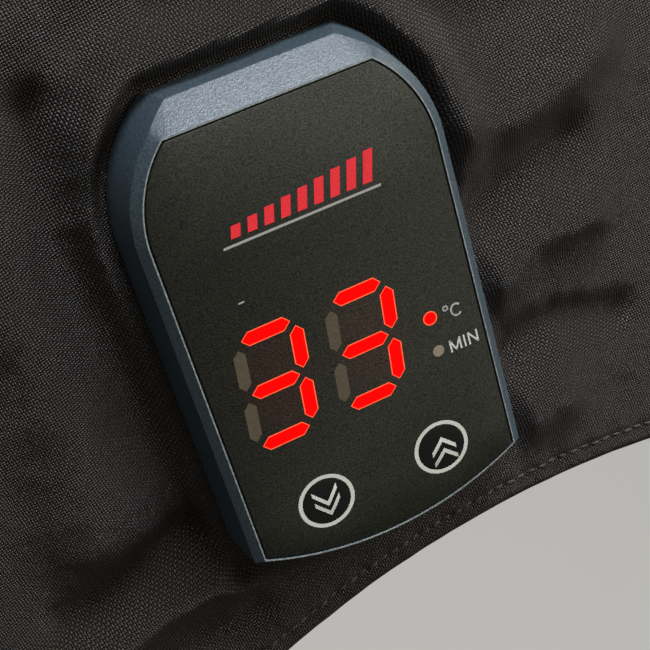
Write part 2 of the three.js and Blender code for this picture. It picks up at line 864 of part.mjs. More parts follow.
// Leads, sensor and the tape over the leads
warmer.add(named("supply_lead", supplyLead, rubber));
warmer.add(named("heater_lead", heaterLead, rubber));
warmer.add(named("sensor_lead", sensorLead, rubber));
warmer.add(named(
  "temperature_sensor",
  block(...sensorSize, sensorX, sensorMiddle, sensorTop - sensorSize[2]),
  sensorMetal,
));

function tapeSection() {
  const top = -clothThickness - layerGap;
  const dip = leadRun - supplyLeadRadius - layerGap;
  const inner = leadPitch + supplyLeadRadius + layerGap + 0.5;
  const foot = inner + tapeThickness + tapeFoot;
  const right = [
    [inner, dip], [inner, top], [foot, top], [foot, top - tapeThickness],
    [inner + tapeThickness, top - tapeThickness], [inner + tapeThickness, dip - tapeThickness],
  ].map(([x, z]) => new THREE.Vector2(x, z));
  const left = right.map((point) => new THREE.Vector2(-point.x, point.y)).reverse();
  return new THREE.Shape([...right, ...left]);
}

const tape = new THREE.ExtrudeGeometry(tapeSection(), { depth: tapeLength, bevelEnabled: false })
  .rotateX(Math.PI / 2)
  .translate(0, tapeEnd, 0);
seat.add(named("lead_tape", tape, tapeWeb));

// The controller's pieces
controller.add(named("controller_housing", housing(), housingPlastic));
controller.add(named("front_overlay", film(), filmPlastic));
controller.add(named("base_plate", basePlate(), blackPlastic));
controller.add(named("backing_plate", backingPlate(), blackPlastic));
screwPlaces.forEach(([x, y], index) => {
  controller.add(named(`fixing_screw_${index + 1}`, screw(x, y), steel));
});
controller.add(named("circuit_board", board(), boardLaminate));
controller.add(named("segment_light_guide", lightGuide(), litPlastic));
controller.add(named("display_reflector", reflector(), blackPlastic));
controller.add(named("degree_lamp", rod(lampRadius, partsLevel, lightTop, lampX, degreeLampY), litPlastic));
controller.add(named("minute_lamp", rod(lampRadius, partsLevel, lightTop, lampX, minuteLampY), clearPlastic));
controller.add(named("down_key_switch", switchBody(-keyX), blackPlastic));
controller.add(named("up_key_switch", switchBody(keyX), blackPlastic));
controller.add(named("down_key_plunger", plunger(-keyX), clearPlastic));
controller.add(named("up_key_plunger", plunger(keyX), clearPlastic));
controller.add(named("control_chip", block(chipSize, chipSize, chipHeight, 0, chipY, partsLevel), blackPlastic));
controller.add(named(
  "power_triac",
  block(...triacSize, ...triacPlace, underParts - triacSize[2]),
  blackPlastic,
));
controller.add(named(
  "supply_capacitor",
  new THREE.CylinderGeometry(capacitorRadius, capacitorRadius, capacitorLength, 12)
    .translate(capacitorPlace[0], capacitorPlace[1], underParts - capacitorRadius),
  steel,
));
controller.add(named("terminal_block", block(...terminalSize, 0, 0, underParts - terminalSize[2]), litPlastic));

warmer.add(seat);

export default warmer;
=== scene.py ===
"""A motorcycle tyre warmer, closed to its ring and lying on one side with its controller up.

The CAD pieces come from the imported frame. This script dresses them: cloth flaps with gathers, folds and
stitched hems, the tread cover and the layers under it, the strap, the gland, and the controller with its
moulded housing, printed front film, lit digits and keys. Lengths are millimetres until a mesh is made.
"""

from __future__ import annotations

import json
import logging
import math
from dataclasses import dataclass, field
from enum import Enum
from typing import Callable, Iterable, Sequence

import bmesh
import bpy
import numpy as np
from mathutils import Matrix, Vector

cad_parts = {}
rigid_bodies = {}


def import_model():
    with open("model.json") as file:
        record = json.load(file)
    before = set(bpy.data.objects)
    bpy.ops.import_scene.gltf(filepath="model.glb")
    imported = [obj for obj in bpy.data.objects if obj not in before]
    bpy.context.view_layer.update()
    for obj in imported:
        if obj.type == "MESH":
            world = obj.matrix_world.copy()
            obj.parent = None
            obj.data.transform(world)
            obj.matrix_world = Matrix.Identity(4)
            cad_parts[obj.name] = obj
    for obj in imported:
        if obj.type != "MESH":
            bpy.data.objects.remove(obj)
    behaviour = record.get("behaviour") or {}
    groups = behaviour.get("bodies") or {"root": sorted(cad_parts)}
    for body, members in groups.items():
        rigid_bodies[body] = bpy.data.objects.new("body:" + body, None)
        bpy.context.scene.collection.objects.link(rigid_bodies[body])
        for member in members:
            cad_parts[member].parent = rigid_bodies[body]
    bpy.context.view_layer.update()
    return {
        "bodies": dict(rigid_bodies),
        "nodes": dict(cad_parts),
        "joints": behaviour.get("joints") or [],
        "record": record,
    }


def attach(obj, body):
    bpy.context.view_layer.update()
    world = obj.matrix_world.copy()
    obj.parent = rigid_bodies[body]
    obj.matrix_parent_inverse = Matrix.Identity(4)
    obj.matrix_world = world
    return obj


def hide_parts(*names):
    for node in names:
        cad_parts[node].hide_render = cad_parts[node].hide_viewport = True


LOG = logging.getLogger("tyre_warmer")
MM = 0.001
WARMER = "warmer"
CLOTH_UV = "cloth_mm"


@dataclass(frozen=True)
class WarmerSizes:
    """Sizes of the ring that several sub-assemblies share, in millimetres and radians."""

    cover_radius: float = 349.2
    cover_inner: float = 347.6
    height: float = 220.0
    shoulder: float = 16.0
    seam_depth: float = 24.0
    hem_radius: float = 200.0
    hem_width: float = 9.0
    hem_tunnel: float = 2.6
    cloth: float = 1.6
    layer_gap: float = 0.3
    upper_slope: float = math.radians(4.5)
    closure: float = math.radians(-45)
    closure_slot: float = 0.7
    controller_to_hem: float = 52.5
    controller_turn: float = math.radians(-8.25)
    panel_level: float = 13.0

    @property
    def shoulder_centre(self) -> float:
        """Radius at which a flap's shoulder begins."""
        return self.cover_radius - self.shoulder

    @property
    def controller_radius(self) -> float:
        """Radius of the front film's origin."""
        return self.hem_radius + self.controller_to_hem

    def fall(self, radius: np.ndarray | float, slope: float) -> np.ndarray | float:
        """Depth of a sloping flap's outer face below the shoulder at a radius."""
        return (self.shoulder_centre - radius) * math.tan(slope)

    def seat(self) -> Matrix:
        """Frame of the controller's seat on the upper flap, in millimetres."""
        level = self.height - self.fall(self.controller_radius, self.upper_slope)
        return Matrix.Translation((0, self.controller_radius, level)) @ Matrix.Rotation(self.upper_slope, 4, "X")

    def panel(self) -> Matrix:
        """Frame of the front film: X to its right, Y to its top, Z = 0 on its face."""
        turned = self.seat() @ Matrix.Rotation(self.controller_turn, 4, "Z")
        return turned @ Matrix.Translation((0, 0, self.panel_level))


SIZES = WarmerSizes()


def linear(hex_colour: str) -> tuple[float, float, float, float]:
    """Turn an sRGB hex colour into the linear colour that a shader takes.

    Args:
        hex_colour: Six hex digits, with or without a leading hash.

    Returns:
        Red, green, blue and an alpha of 1.
    """
    digits = hex_colour.lstrip("#")
    channels = [int(digits[i : i + 2], 16) / 255 for i in (0, 2, 4)]
    red, green, blue = (c / 12.92 if c <= 0.04045 else ((c + 0.055) / 1.055) ** 2.4 for c in channels)
    return red, green, blue, 1.0


def add_node(
    tree: bpy.types.NodeTree,
    kind: str,
    settings: dict[str, object] | None = None,
    inputs: dict[str | int, object] | None = None,
) -> bpy.types.Node:
    """Add a node to a tree, with its settings and its inputs.

    Args:
        tree: The node tree.
        kind: The node's type name.
        settings: Attributes of the node.
        inputs: Input values by name or index. A socket is linked, and a node is linked by its first output.

    Returns:
        The new node.
    """
    node = tree.nodes.new(kind)
    for name, value in (settings or {}).items():
        setattr(node, name, value)
    for key, value in (inputs or {}).items():
        source = value.outputs[0] if isinstance(value, bpy.types.Node) else value
        if isinstance(source, bpy.types.NodeSocket):
            tree.links.new(source, node.inputs[key])
        else:
            node.inputs[key].default_value = source
    return node


class Grain(Enum):
    """How a moulded, printed or pressed surface breaks up."""

    SAND = "sand"
    FINE = "fine"
    FIBRE = "fibre"
    RIBS = "ribs"
    BRUSHED = "brushed"


@dataclass(frozen=True)
class Finish:
    """A plain material: two close colours in a grain, with bump and roughness from the same grain.

    The grain's size and depth are real millimetres on the piece.
    """

    name: str
    colour: str
    shade: str
    roughness: float = 0.5
    grain: Grain = Grain.FINE
    grain_mm: float = 0.5
    depth_mm: float = 0.02
    metallic: float = 0.0
    ior: float = 1.5
    sheen: float = 0.0
    coat: float = 0.0
    glow: float = 0.0
    specular: float = 0.5

    def material(self) -> bpy.types.Material:
        """Build the material once, and return it.

        Returns:
            The material of this finish.
        """
        known = bpy.data.materials.get(self.name)
        if known is not None:
            return known
        material = bpy.data.materials.new(self.name)
        material.use_nodes = True
        tree = material.node_tree
        tree.nodes.clear()
        self.shade_nodes(tree)
        return material

    def coordinates(self, tree: bpy.types.NodeTree) -> bpy.types.Node:
        """Object coordinates in units of the grain, drawn out along Z for brushed metal and ribs."""
        drawn = {Grain.BRUSHED: 0.04, Grain.RIBS: 0.0}.get(self.grain, 1.0)
        scale = 1 / (self.grain_mm * MM)
        place = add_node(tree, "ShaderNodeTexCoord")
        return add_node(
            tree,
            "ShaderNodeMapping",
            inputs={"Vector": place.outputs["Object"], "Scale": (scale, scale, scale * drawn)},
        )

    def pattern(self, tree: bpy.types.NodeTree) -> bpy.types.NodeSocket:
        """The grain's height, from 0 to 1."""
        place = self.coordinates(tree)
        if self.grain is Grain.RIBS:
            wave = add_node(
                tree,
                "ShaderNodeTexWave",
                {"wave_type": "RINGS", "rings_direction": "Z", "wave_profile": "SIN"},
                {"Vector": place, "Scale": 0.32, "Distortion": 0.0},
            )
            return wave.outputs["Fac"]
        if self.grain is Grain.SAND:
            cells = add_node(tree, "ShaderNodeTexVoronoi", inputs={"Vector": place, "Scale": 1.0})
            noise = add_node(tree, "ShaderNodeTexNoise", inputs={"Vector": place, "Scale": 0.7, "Detail": 2.0})
            return add_node(
                tree,
                "ShaderNodeMath",
                {"operation": "MULTIPLY_ADD"},
                {0: cells.outputs["Distance"], 1: -0.6, 2: noise.outputs["Fac"]},
            ).outputs[0]
        detail = 4.0 if self.grain is Grain.FIBRE else 1.0
        noise = add_node(tree, "ShaderNodeTexNoise", inputs={"Vector": place, "Scale": 1.0, "Detail": detail})
        spread = {"Value": noise.outputs["Fac"], "From Min": 0.3, "From Max": 0.7}
        return add_node(tree, "ShaderNodeMapRange", inputs=spread).outputs["Result"]

    def shade_nodes(self, tree: bpy.types.NodeTree) -> None:
        """Build the shader: grain into colour, roughness and bump, and an even glow where it has one."""
        height = self.pattern(tree)
        colour = add_node(
            tree,
            "ShaderNodeMix",
            {"data_type": "RGBA"},
            {"Factor": height, 6: linear(self.shade), 7: linear(self.colour)},
        )
        rough = add_node(
            tree,
            "ShaderNodeMapRange",
            inputs={
                "Value": height,
                "To Min": min(1.0, self.roughness + 0.08),
                "To Max": max(0.05, self.roughness - 0.08),
            },
        )
        bump = add_node(
            tree,
            "ShaderNodeBump",
            inputs={"Strength": 1.0, "Distance": self.depth_mm * MM, "Height": height},
        )
        inputs = {
            "Base Color": colour.outputs[2],
            "Roughness": rough,
            "Metallic": self.metallic,
            "Normal": bump,
            "Sheen Weight": self.sheen,
            "Coat Weight": self.coat,
            "Specular IOR Level": self.specular,
        }
        if self.metallic < 0.5:
            inputs["IOR"] = self.ior
        if self.glow:
            inputs["Emission Color"] = colour.outputs[2]
            inputs["Emission Strength"] = self.glow
        shader = add_node(tree, "ShaderNodeBsdfPrincipled", inputs=inputs)
        add_node(tree, "ShaderNodeOutputMaterial", inputs={"Surface": shader})


@dataclass(frozen=True)
class WovenFinish(Finish):
    """Plain-woven cloth: warp over weft and weft over warp by turns, on the piece's own UV in millimetres."""

    thread_mm: float = 0.52
    turn: float = 0.0
    painted_gap_shade: str = "#0A0807"
    fade_mm: float = 26.0

    def shade_nodes(self, tree: bpy.types.NodeTree) -> None:
        """Build the weave from two crossing sines, whose product's sign says which thread is on top, with painted shade
        in the gaps and painted highlights on the raised tops.
        """
        uv = add_node(tree, "ShaderNodeUVMap", {"uv_map": CLOTH_UV})
        slub = add_node(tree, "ShaderNodeTexNoise", inputs={"Vector": uv, "Scale": 0.35, "Detail": 2.0})
        bent = add_node(
            tree,
            "ShaderNodeVectorMath",
            {"operation": "MULTIPLY_ADD"},
            {0: slub.outputs["Color"], 1: (0.5, 0.5, 0.0), 2: uv},
        )
        place = add_node(
            tree,
            "ShaderNodeMapping",
            inputs={
                "Vector": bent,
                "Rotation": (0.0, 0.0, self.turn),
                "Scale": (math.pi / self.thread_mm, math.pi / self.thread_mm, 1.0),
            },
        )
        axes = add_node(tree, "ShaderNodeSeparateXYZ", inputs={0: place})
        waves = [
            add_node(tree, "ShaderNodeMath", {"operation": "SINE"}, {0: axes.outputs[axis]}) for axis in (0, 1)
        ]
        crossing = add_node(tree, "ShaderNodeMath", {"operation": "MULTIPLY"}, {0: waves[0], 1: waves[1]})
        warp_up = add_node(tree, "ShaderNodeMath", {"operation": "GREATER_THAN"}, {0: crossing, 1: 0.0})
        rises = []
        for wave, low, high in ((waves[0], 0.35, 0.9), (waves[1], 0.9, 0.35)):
            size = add_node(tree, "ShaderNodeMath", {"operation": "ABSOLUTE"}, {0: wave})
            power = add_node(tree, "ShaderNodeMapRange", inputs={"Value": warp_up, "To Min": low, "To Max": high})
            rises.append(add_node(tree, "ShaderNodeMath", {"operation": "POWER"}, {0: size, 1: power}))
        height = add_node(tree, "ShaderNodeMath", {"operation": "MULTIPLY"}, {0: rises[0], 1: rises[1]})
        # Painted light: the warp's tops are painted lighter than the weft's, and the colour runs from the near-black
        # gap colour in the hollows (painted shade) up to the thread's colour on its raised top (painted highlight).
        thread = add_node(
            tree,
            "ShaderNodeMix",
            {"data_type": "RGBA"},
            {"Factor": warp_up, 6: linear(self.shade), 7: linear(self.colour)},
        )
        lit = add_node(
            tree,
            "ShaderNodeMix",
            {"data_type": "RGBA"},
            {"Factor": height, 6: linear(self.painted_gap_shade), 7: thread.outputs[2]},
        )
        patches = add_node(
            tree,
            "ShaderNodeTexNoise",
            inputs={"Vector": uv, "Scale": 1 / self.fade_mm, "Detail": 3.0},
        )
        fade = add_node(
            tree,
            "ShaderNodeMapRange",
            inputs={"Value": patches.outputs["Fac"], "From Min": 0.3, "From Max": 0.7, "To Min": 0.82, "To Max": 1.2},
        )
        worn = add_node(
            tree,
            "ShaderNodeVectorMath",
            {"operation": "SCALE"},
            {0: lit.outputs[2], "Scale": fade},
        )
        bump = add_node(
            tree,
            "ShaderNodeBump",
            inputs={"Strength": 1.0, "Distance": self.depth_mm * MM, "Height": height},
        )
        shader = add_node(
            tree,
            "ShaderNodeBsdfPrincipled",
            inputs={
                "Base Color": worn,
                "Roughness": self.roughness,
                "Normal": bump,
                "IOR": self.ior,
                "Sheen Weight": self.sheen,
                "Sheen Roughness": 0.4,
            },
        )
        add_node(tree, "ShaderNodeOutputMaterial", inputs={"Surface": shader})


@dataclass(frozen=True)
class FilmFinish(Finish):
    """Velvet-textured polyester film, through which a little of the digits' red light leaks round them."""

    glow_colour: str = "#FF1A0A"
    glow_strength: float = 0.012
    glow_reach: tuple[float, float] = (9.5, 15.0)
    glow_centres: tuple[tuple[float, float], ...] = ((-13.2, 6.0), (4.3, 6.0))

    def shade_nodes(self, tree: bpy.types.NodeTree) -> None:
        """Add the leaking light to the plain finish, as a soft oval round each digit."""
        super().shade_nodes(tree)
        shader = next(node for node in tree.nodes if node.type == "BSDF_PRINCIPLED")
        uv = add_node(tree, "ShaderNodeUVMap", {"uv_map": CLOTH_UV})
        total: bpy.types.Node | float = 0.0
        across, along = self.glow_reach
        for x, y in self.glow_centres:
            oval = add_node(
                tree,
                "ShaderNodeMapping",
                {"vector_type": "TEXTURE"},
                {"Vector": uv, "Location": (x, y, 0.0), "Scale": (across, along, 1.0)},
            )
            length = add_node(tree, "ShaderNodeVectorMath", {"operation": "LENGTH"}, {0: oval})
            share = add_node(
                tree,
                "ShaderNodeMapRange",
                {"interpolation_type": "SMOOTHSTEP"},
                {"Value": length.outputs["Value"], "From Min": 0.25, "From Max": 1.0, "To Min": 1.0, "To Max": 0.0},
            )
            total = add_node(tree, "ShaderNodeMath", {"operation": "MAXIMUM"}, {0: share, 1: total})
        strength = add_node(
            tree,
            "ShaderNodeMath",
            {"operation": "MULTIPLY"},
            {0: total, 1: self.glow_strength},
        )
        shader.inputs["Emission Color"].default_value = linear(self.glow_colour)
        tree.links.new(strength.outputs[0], shader.inputs["Emission Strength"])


# Woven polyester: dark brown-black yarn with a dull sheen, with painted highlights as dots on its raised threads and
# painted shade in the gaps between them
COVER_CLOTH = WovenFinish(
    "woven_polyester", "#3D3229", "#17120E", roughness=0.48, depth_mm=0.34, sheen=0.02, painted_gap_shade="#040303"
)
STRAP_CLOTH = WovenFinish(
    "strap_polyester", "#3D342D", "#221C18", roughness=0.55, depth_mm=0.3, thread_mm=0.7, sheen=0.08
)
# Heat-resistant lining: a tighter, colder black weave
LINING_CLOTH = WovenFinish(
    "lining_weave", "#3C3C40", "#26262A", roughness=0.7, depth_mm=0.12, thread_mm=0.6, painted_gap_shade="#0B0B0C"
)
# Sewing thread: twisted polyester, a little glossier than the cloth
THREAD = Finish("sewing_thread", "#3A332E", "#1D1916", 0.5, Grain.FINE, 0.25, 0.03, sheen=0.2)
# Needle felt: matted fibres, no gloss
FELT = Finish("needle_felt", "#A19C92", "#77736B", 0.95, Grain.FIBRE, 1.2, 0.3, sheen=0.3)
# Silicone rubber mat over resistance wire: a fine rib shows each wire
HEATING_RUBBER = Finish("silicone_rubber_mat", "#98402D", "#7A2F21", 0.62, Grain.RIBS, 6.0, 0.3)
# Woven elastic and hook tape: close black ribs
ELASTIC_WEB = Finish("ribbed_elastic", "#26262A", "#101012", 0.8, Grain.RIBS, 1.0, 0.15, sheen=0.2)
HOOK_TAPE = Finish("hook_and_loop_tape", "#222225", "#0A0A0C", 0.85, Grain.FIBRE, 0.9, 0.3, sheen=0.25)
# Moulded rubber and nylon: matte, fine spark-eroded grain
BLACK_RUBBER = Finish("moulded_rubber", "#1D1D1D", "#121212", 0.62, Grain.SAND, 0.5, 0.02)
BLACK_NYLON = Finish("moulded_nylon", "#212124", "#161618", 0.5, Grain.SAND, 0.45, 0.02)
# Slate blue-grey ABS with a sand texture that breaks the light into fine specks
HOUSING_PLASTIC = Finish("sand_textured_abs", "#53666F", "#333E46", 0.36, Grain.SAND, 0.36, 0.035)
# Velvet polyester film: near-black, with a fine grain whose light specks are partly real grain and partly painted
# glints standing for its faint sparkle
FRONT_FILM = FilmFinish("velvet_polyester_film", "#37382F", "#171814", 0.52, Grain.FINE, 0.3, 0.03, specular=0.22)
KEY_FILM = Finish("embossed_key_film", "#141412", "#0A0A09", 0.33, Grain.FINE, 0.28, 0.006, specular=0.4)
PALE_INK = Finish("pale_screen_ink", "#D0D4C9", "#C2C6BB", 0.55, Grain.FINE, 0.3, 0.004)
# The moulding's narrow land round the film, painted pale all round as a highlight where its edge catches the light
LAND_HIGHLIGHT_PAINT = Finish("abs_edge_painted_highlight", "#9AA19C", "#6F7672", 0.35, Grain.FINE, 0.7, 0.01)
MARK_GREY = Finish("grey_screen_ink", "#A9A8A2", "#999892", 0.55, Grain.FINE, 0.3, 0.004)
# Red ink with a faint painted glow, though nothing lights it
MARK_RED = Finish("red_screen_ink", "#E5303A", "#D4252F", 0.5, Grain.FINE, 0.3, 0.004, glow=0.12)
LIT_RED = Finish("lit_red_window", "#F30605", "#EC0504", 0.4, Grain.FINE, 1.2, 0.002, glow=0.4, specular=0.02)
LIT_RIM = Finish("lit_window_rim", "#F0613E", "#E85836", 0.4, Grain.FINE, 1.2, 0.002, glow=0.6, specular=0.02)
UNLIT_WINDOW = Finish("unlit_window", "#5C5446", "#534C3C", 0.4, Grain.FINE, 0.5, 0.004, specular=0.1)
UNLIT_LAMP = Finish("unlit_lamp_window", "#928673", "#867A68", 0.4, Grain.FINE, 0.4, 0.004, specular=0.2)
RED_DIFFUSER = Finish("red_diffuser", "#F3190F", "#D9140B", 0.35, Grain.FINE, 0.6, 0.01, glow=0.4)
CLEAR_PLASTIC = Finish("milky_polycarbonate", "#C8C2B4", "#B6B0A2", 0.3, Grain.FINE, 0.6, 0.01, ior=1.58)
SOLDER_MASK = Finish("green_solder_mask", "#2A6B40", "#1F5633", 0.35, Grain.FINE, 1.5, 0.01, coat=0.3)
TERMINAL_NYLON = Finish("green_terminal_nylon", "#2F8A4E", "#257040", 0.45, Grain.SAND, 0.4, 0.015)
ZINC_STEEL = Finish("zinc_plated_steel", "#C4C8CC", "#A9ADB1", 0.33, Grain.BRUSHED, 0.3, 0.01, metallic=1.0)
SENSOR_BRASS = Finish("satin_brass", "#D2A85C", "#B98F48", 0.35, Grain.BRUSHED, 0.3, 0.01, metallic=1.0)


@dataclass(frozen=True)
class FloorFinish(Finish):
    """Pale painted floor that keeps shadows near the object and runs out into the surround for the camera."""

    surround: str = "#E9E7E3"
    near: float = 0.9
    far: float = 3.2
    lift: float = 0.55

    def shade_nodes(self, tree: bpy.types.NodeTree) -> None:
        """Mix the painted floor with the surround's own brightness, which only the camera sees."""
        super().shade_nodes(tree)
        paint = next(node for node in tree.nodes if node.type == "BSDF_PRINCIPLED")
        end = next(node for node in tree.nodes if node.type == "OUTPUT_MATERIAL")
        place = add_node(tree, "ShaderNodeTexCoord")
        reach = add_node(tree, "ShaderNodeVectorMath", {"operation": "LENGTH"}, {0: place.outputs["Object"]})
        share = add_node(
            tree,
            "ShaderNodeMapRange",
            {"interpolation_type": "SMOOTHSTEP"},
            {
                "Value": reach.outputs["Value"],
                "From Min": self.near,
                "From Max": self.far,
                "To Min": self.lift,
                "To Max": 1.0,
            },
        )
        path = add_node(tree, "ShaderNodeLightPath")
        seen = add_node(
            tree,
            "ShaderNodeMath",
            {"operation": "MULTIPLY"},
            {0: path.outputs["Is Camera Ray"], 1: share},
        )
        bright = add_node(tree, "ShaderNodeEmission", inputs={"Color": linear(self.surround), "Strength": 1.0})
        mix = add_node(tree, "ShaderNodeMixShader", inputs={0: seen, 1: paint, 2: bright})
        tree.links.new(mix.outputs[0], end.inputs["Surface"])


STUDIO_FLOOR = FloorFinish("studio_floor", "#D8D6D1", "#D2D0CB", 0.8, Grain.FINE, 40.0, 0.0)


def settle(piece: bpy.types.Object) -> bpy.types.Object:
    """Make a piece's modifiers part of its mesh.

    Args:
        piece: A mesh or curve object with modifiers.

    Returns:
        The same mesh object with plain data, or a new mesh object in a curve's place.
    """
    graph = bpy.context.evaluated_depsgraph_get()
    mesh = bpy.data.meshes.new_from_object(piece.evaluated_get(graph), depsgraph=graph)
    if piece.type == "MESH":
        piece.modifiers.clear()
        piece.data = mesh
        return piece
    name = piece.name
    bpy.data.objects.remove(piece)
    plain = bpy.data.objects.new(name, mesh)
    bpy.context.scene.collection.objects.link(plain)
    return plain


def add_piece(
    name: str,
    points: np.ndarray,
    faces: Sequence[Sequence[int]],
    finish: Finish,
    uv: np.ndarray | None = None,
    smooth_below: float | None = 40.0,
) -> bpy.types.Object:
    """Make a mesh piece from points in the warmer's frame.

    Args:
        name: The piece's name.
        points: Its vertices in millimetres, one a row.
        faces: Its faces as vertex indices.
        finish: Its finish.
        uv: A flat place in millimetres for each vertex, or None.
        smooth_below: The edge angle in degrees that still shades smooth, or None for flat faces.

    Returns:
        The mesh object, at the origin.
    """
    mesh = bpy.data.meshes.new(name)
    mesh.from_pydata((np.asarray(points, float) * MM).tolist(), [], [list(face) for face in faces])
    mesh.update()
    if uv is not None:
        layer = mesh.uv_layers.new(name=CLOTH_UV)
        corner = np.empty(len(mesh.loops), int)
        mesh.loops.foreach_get("vertex_index", corner)
        layer.data.foreach_set("uv", np.asarray(uv, float)[corner].astype(np.float32).ravel())
    work = bmesh.new()
    work.from_mesh(mesh)
    bmesh.ops.recalc_face_normals(work, faces=work.faces)
    for face in work.faces:
        face.smooth = smooth_below is not None
    if smooth_below is not None:
        limit = math.radians(smooth_below)
        for edge in work.edges:
            edge.smooth = len(edge.link_faces) != 2 or edge.calc_face_angle() < limit
    work.to_mesh(mesh)
    work.free()
    piece = bpy.data.objects.new(name, mesh)
    bpy.context.scene.collection.objects.link(piece)
    piece.data.materials.append(finish.material())
    return piece


def hold(piece: bpy.types.Object, body: str, *nodes: str) -> bpy.types.Object:
    """Let a piece ride on a body, in the place of CAD nodes if any are named."""
    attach(piece, body)
    if nodes:
        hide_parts(*nodes)
    LOG.info("%s: %d faces, on %s", piece.name, len(piece.data.polygons), body)
    return piece


def to_frame(frame: Matrix, points: np.ndarray) -> np.ndarray:
    """Carry points from a local frame into the warmer's frame, both in millimetres."""
    matrix = np.array(frame)
    return np.asarray(points, float) @ matrix[:3, :3].T + matrix[:3, 3]


def smooth_step(value: np.ndarray, start: float, end: float) -> np.ndarray:
    """A smooth rise from 0 at start to 1 at end."""
    share = np.clip((value - start) / (end - start), 0, 1)
    return share * share * (3 - 2 * share)


def ripple(x: np.ndarray, y: np.ndarray, length: float, seed: int, count: int = 18) -> np.ndarray:
    """A smooth uneven field made of crossing waves.

    Args:
        x: First coordinates in millimetres.
        y: Second coordinates in millimetres.
        length: The usual wavelength in millimetres.
        seed: Fixes the waves' directions and phases.
        count: How many waves cross.

    Returns:
        Heights of about -1 to 1.
    """
    draw = np.random.default_rng(seed)
    total = np.zeros_like(x)
    for _ in range(count):
        turn, phase = draw.uniform(0, 2 * math.pi, 2)
        wave = 2 * math.pi / (length * draw.uniform(0.7, 1.6))
        total += np.sin(wave * (x * math.cos(turn) + y * math.sin(turn)) + phase)
    return total / math.sqrt(count * 2)


@dataclass(frozen=True)
class Fold:
    """One fold or hollow in the cloth by the controller, on the front film's own axes."""

    path: tuple[tuple[float, float], ...]
    rise: float
    width: float

    def lift(self, x: np.ndarray, y: np.ndarray) -> np.ndarray:
        """Height that the fold gives each point, in millimetres."""
        nearest = np.full(x.shape, np.inf)
        for (ax, ay), (bx, by) in zip(self.path, self.path[1:]):
            along_x, along_y = bx - ax, by - ay
            share = ((x - ax) * along_x + (y - ay) * along_y) / (along_x**2 + along_y**2)
            share = np.clip(share, 0, 1)
            nearest = np.minimum(nearest, np.hypot(x - ax - share * along_x, y - ay - share * along_y))
        return self.rise * np.exp(-((nearest / self.width) ** 2))


# Read off the cloth round the controller: hollows along the housing, ridges that run out from its corners
CONTROLLER_FOLDS = (
    Fold(((-36, 62), (-37, 30), (-36, 0), (-35, -24)), -4.6, 6.0),
    Fold(((-48, 80), (-50, 40), (-50, 8), (-54, -14)), 3.4, 7.5),
    Fold(((-30, -36), (-38, -35), (-49, -36), (-62, -39), (-84, -46)), 4.2, 4.2),
    Fold(((-36, -25), (-48, -26), (-64, -30)), -3.6, 4.8),
    Fold(((-64, -52), (-45, -47), (-30, -45)), -2.2, 4.0),
    Fold(((37, -31), (42, -30)), 4.6, 8.0),
    Fold(((34, -15), (46, -13), (60, -18)), -3.4, 4.2),
    Fold(((35, 0), (44, 6), (58, 6)), 3.6, 5.0),
    Fold(((34, 16), (42, 19), (56, 23)), -3.0, 4.6),
    Fold(((35, 33), (46, 31), (64, 37)), 3.2, 5.5),
    Fold(((31, 58), (42, 52), (58, 54)), -2.8, 5.0),
    Fold(((-8, 72), (6, 70), (18, 66)), -1.8, 5.0),
    Fold(((-30, 80), (-10, 84), (14, 82)), 1.8, 7.0),
    Fold(((26, 76), (44, 70), (62, 72)), 1.8, 6.0),
)


class Side(Enum):
    """Which side of the wheel a flap covers."""

    UPPER = 1
    LOWER = -1


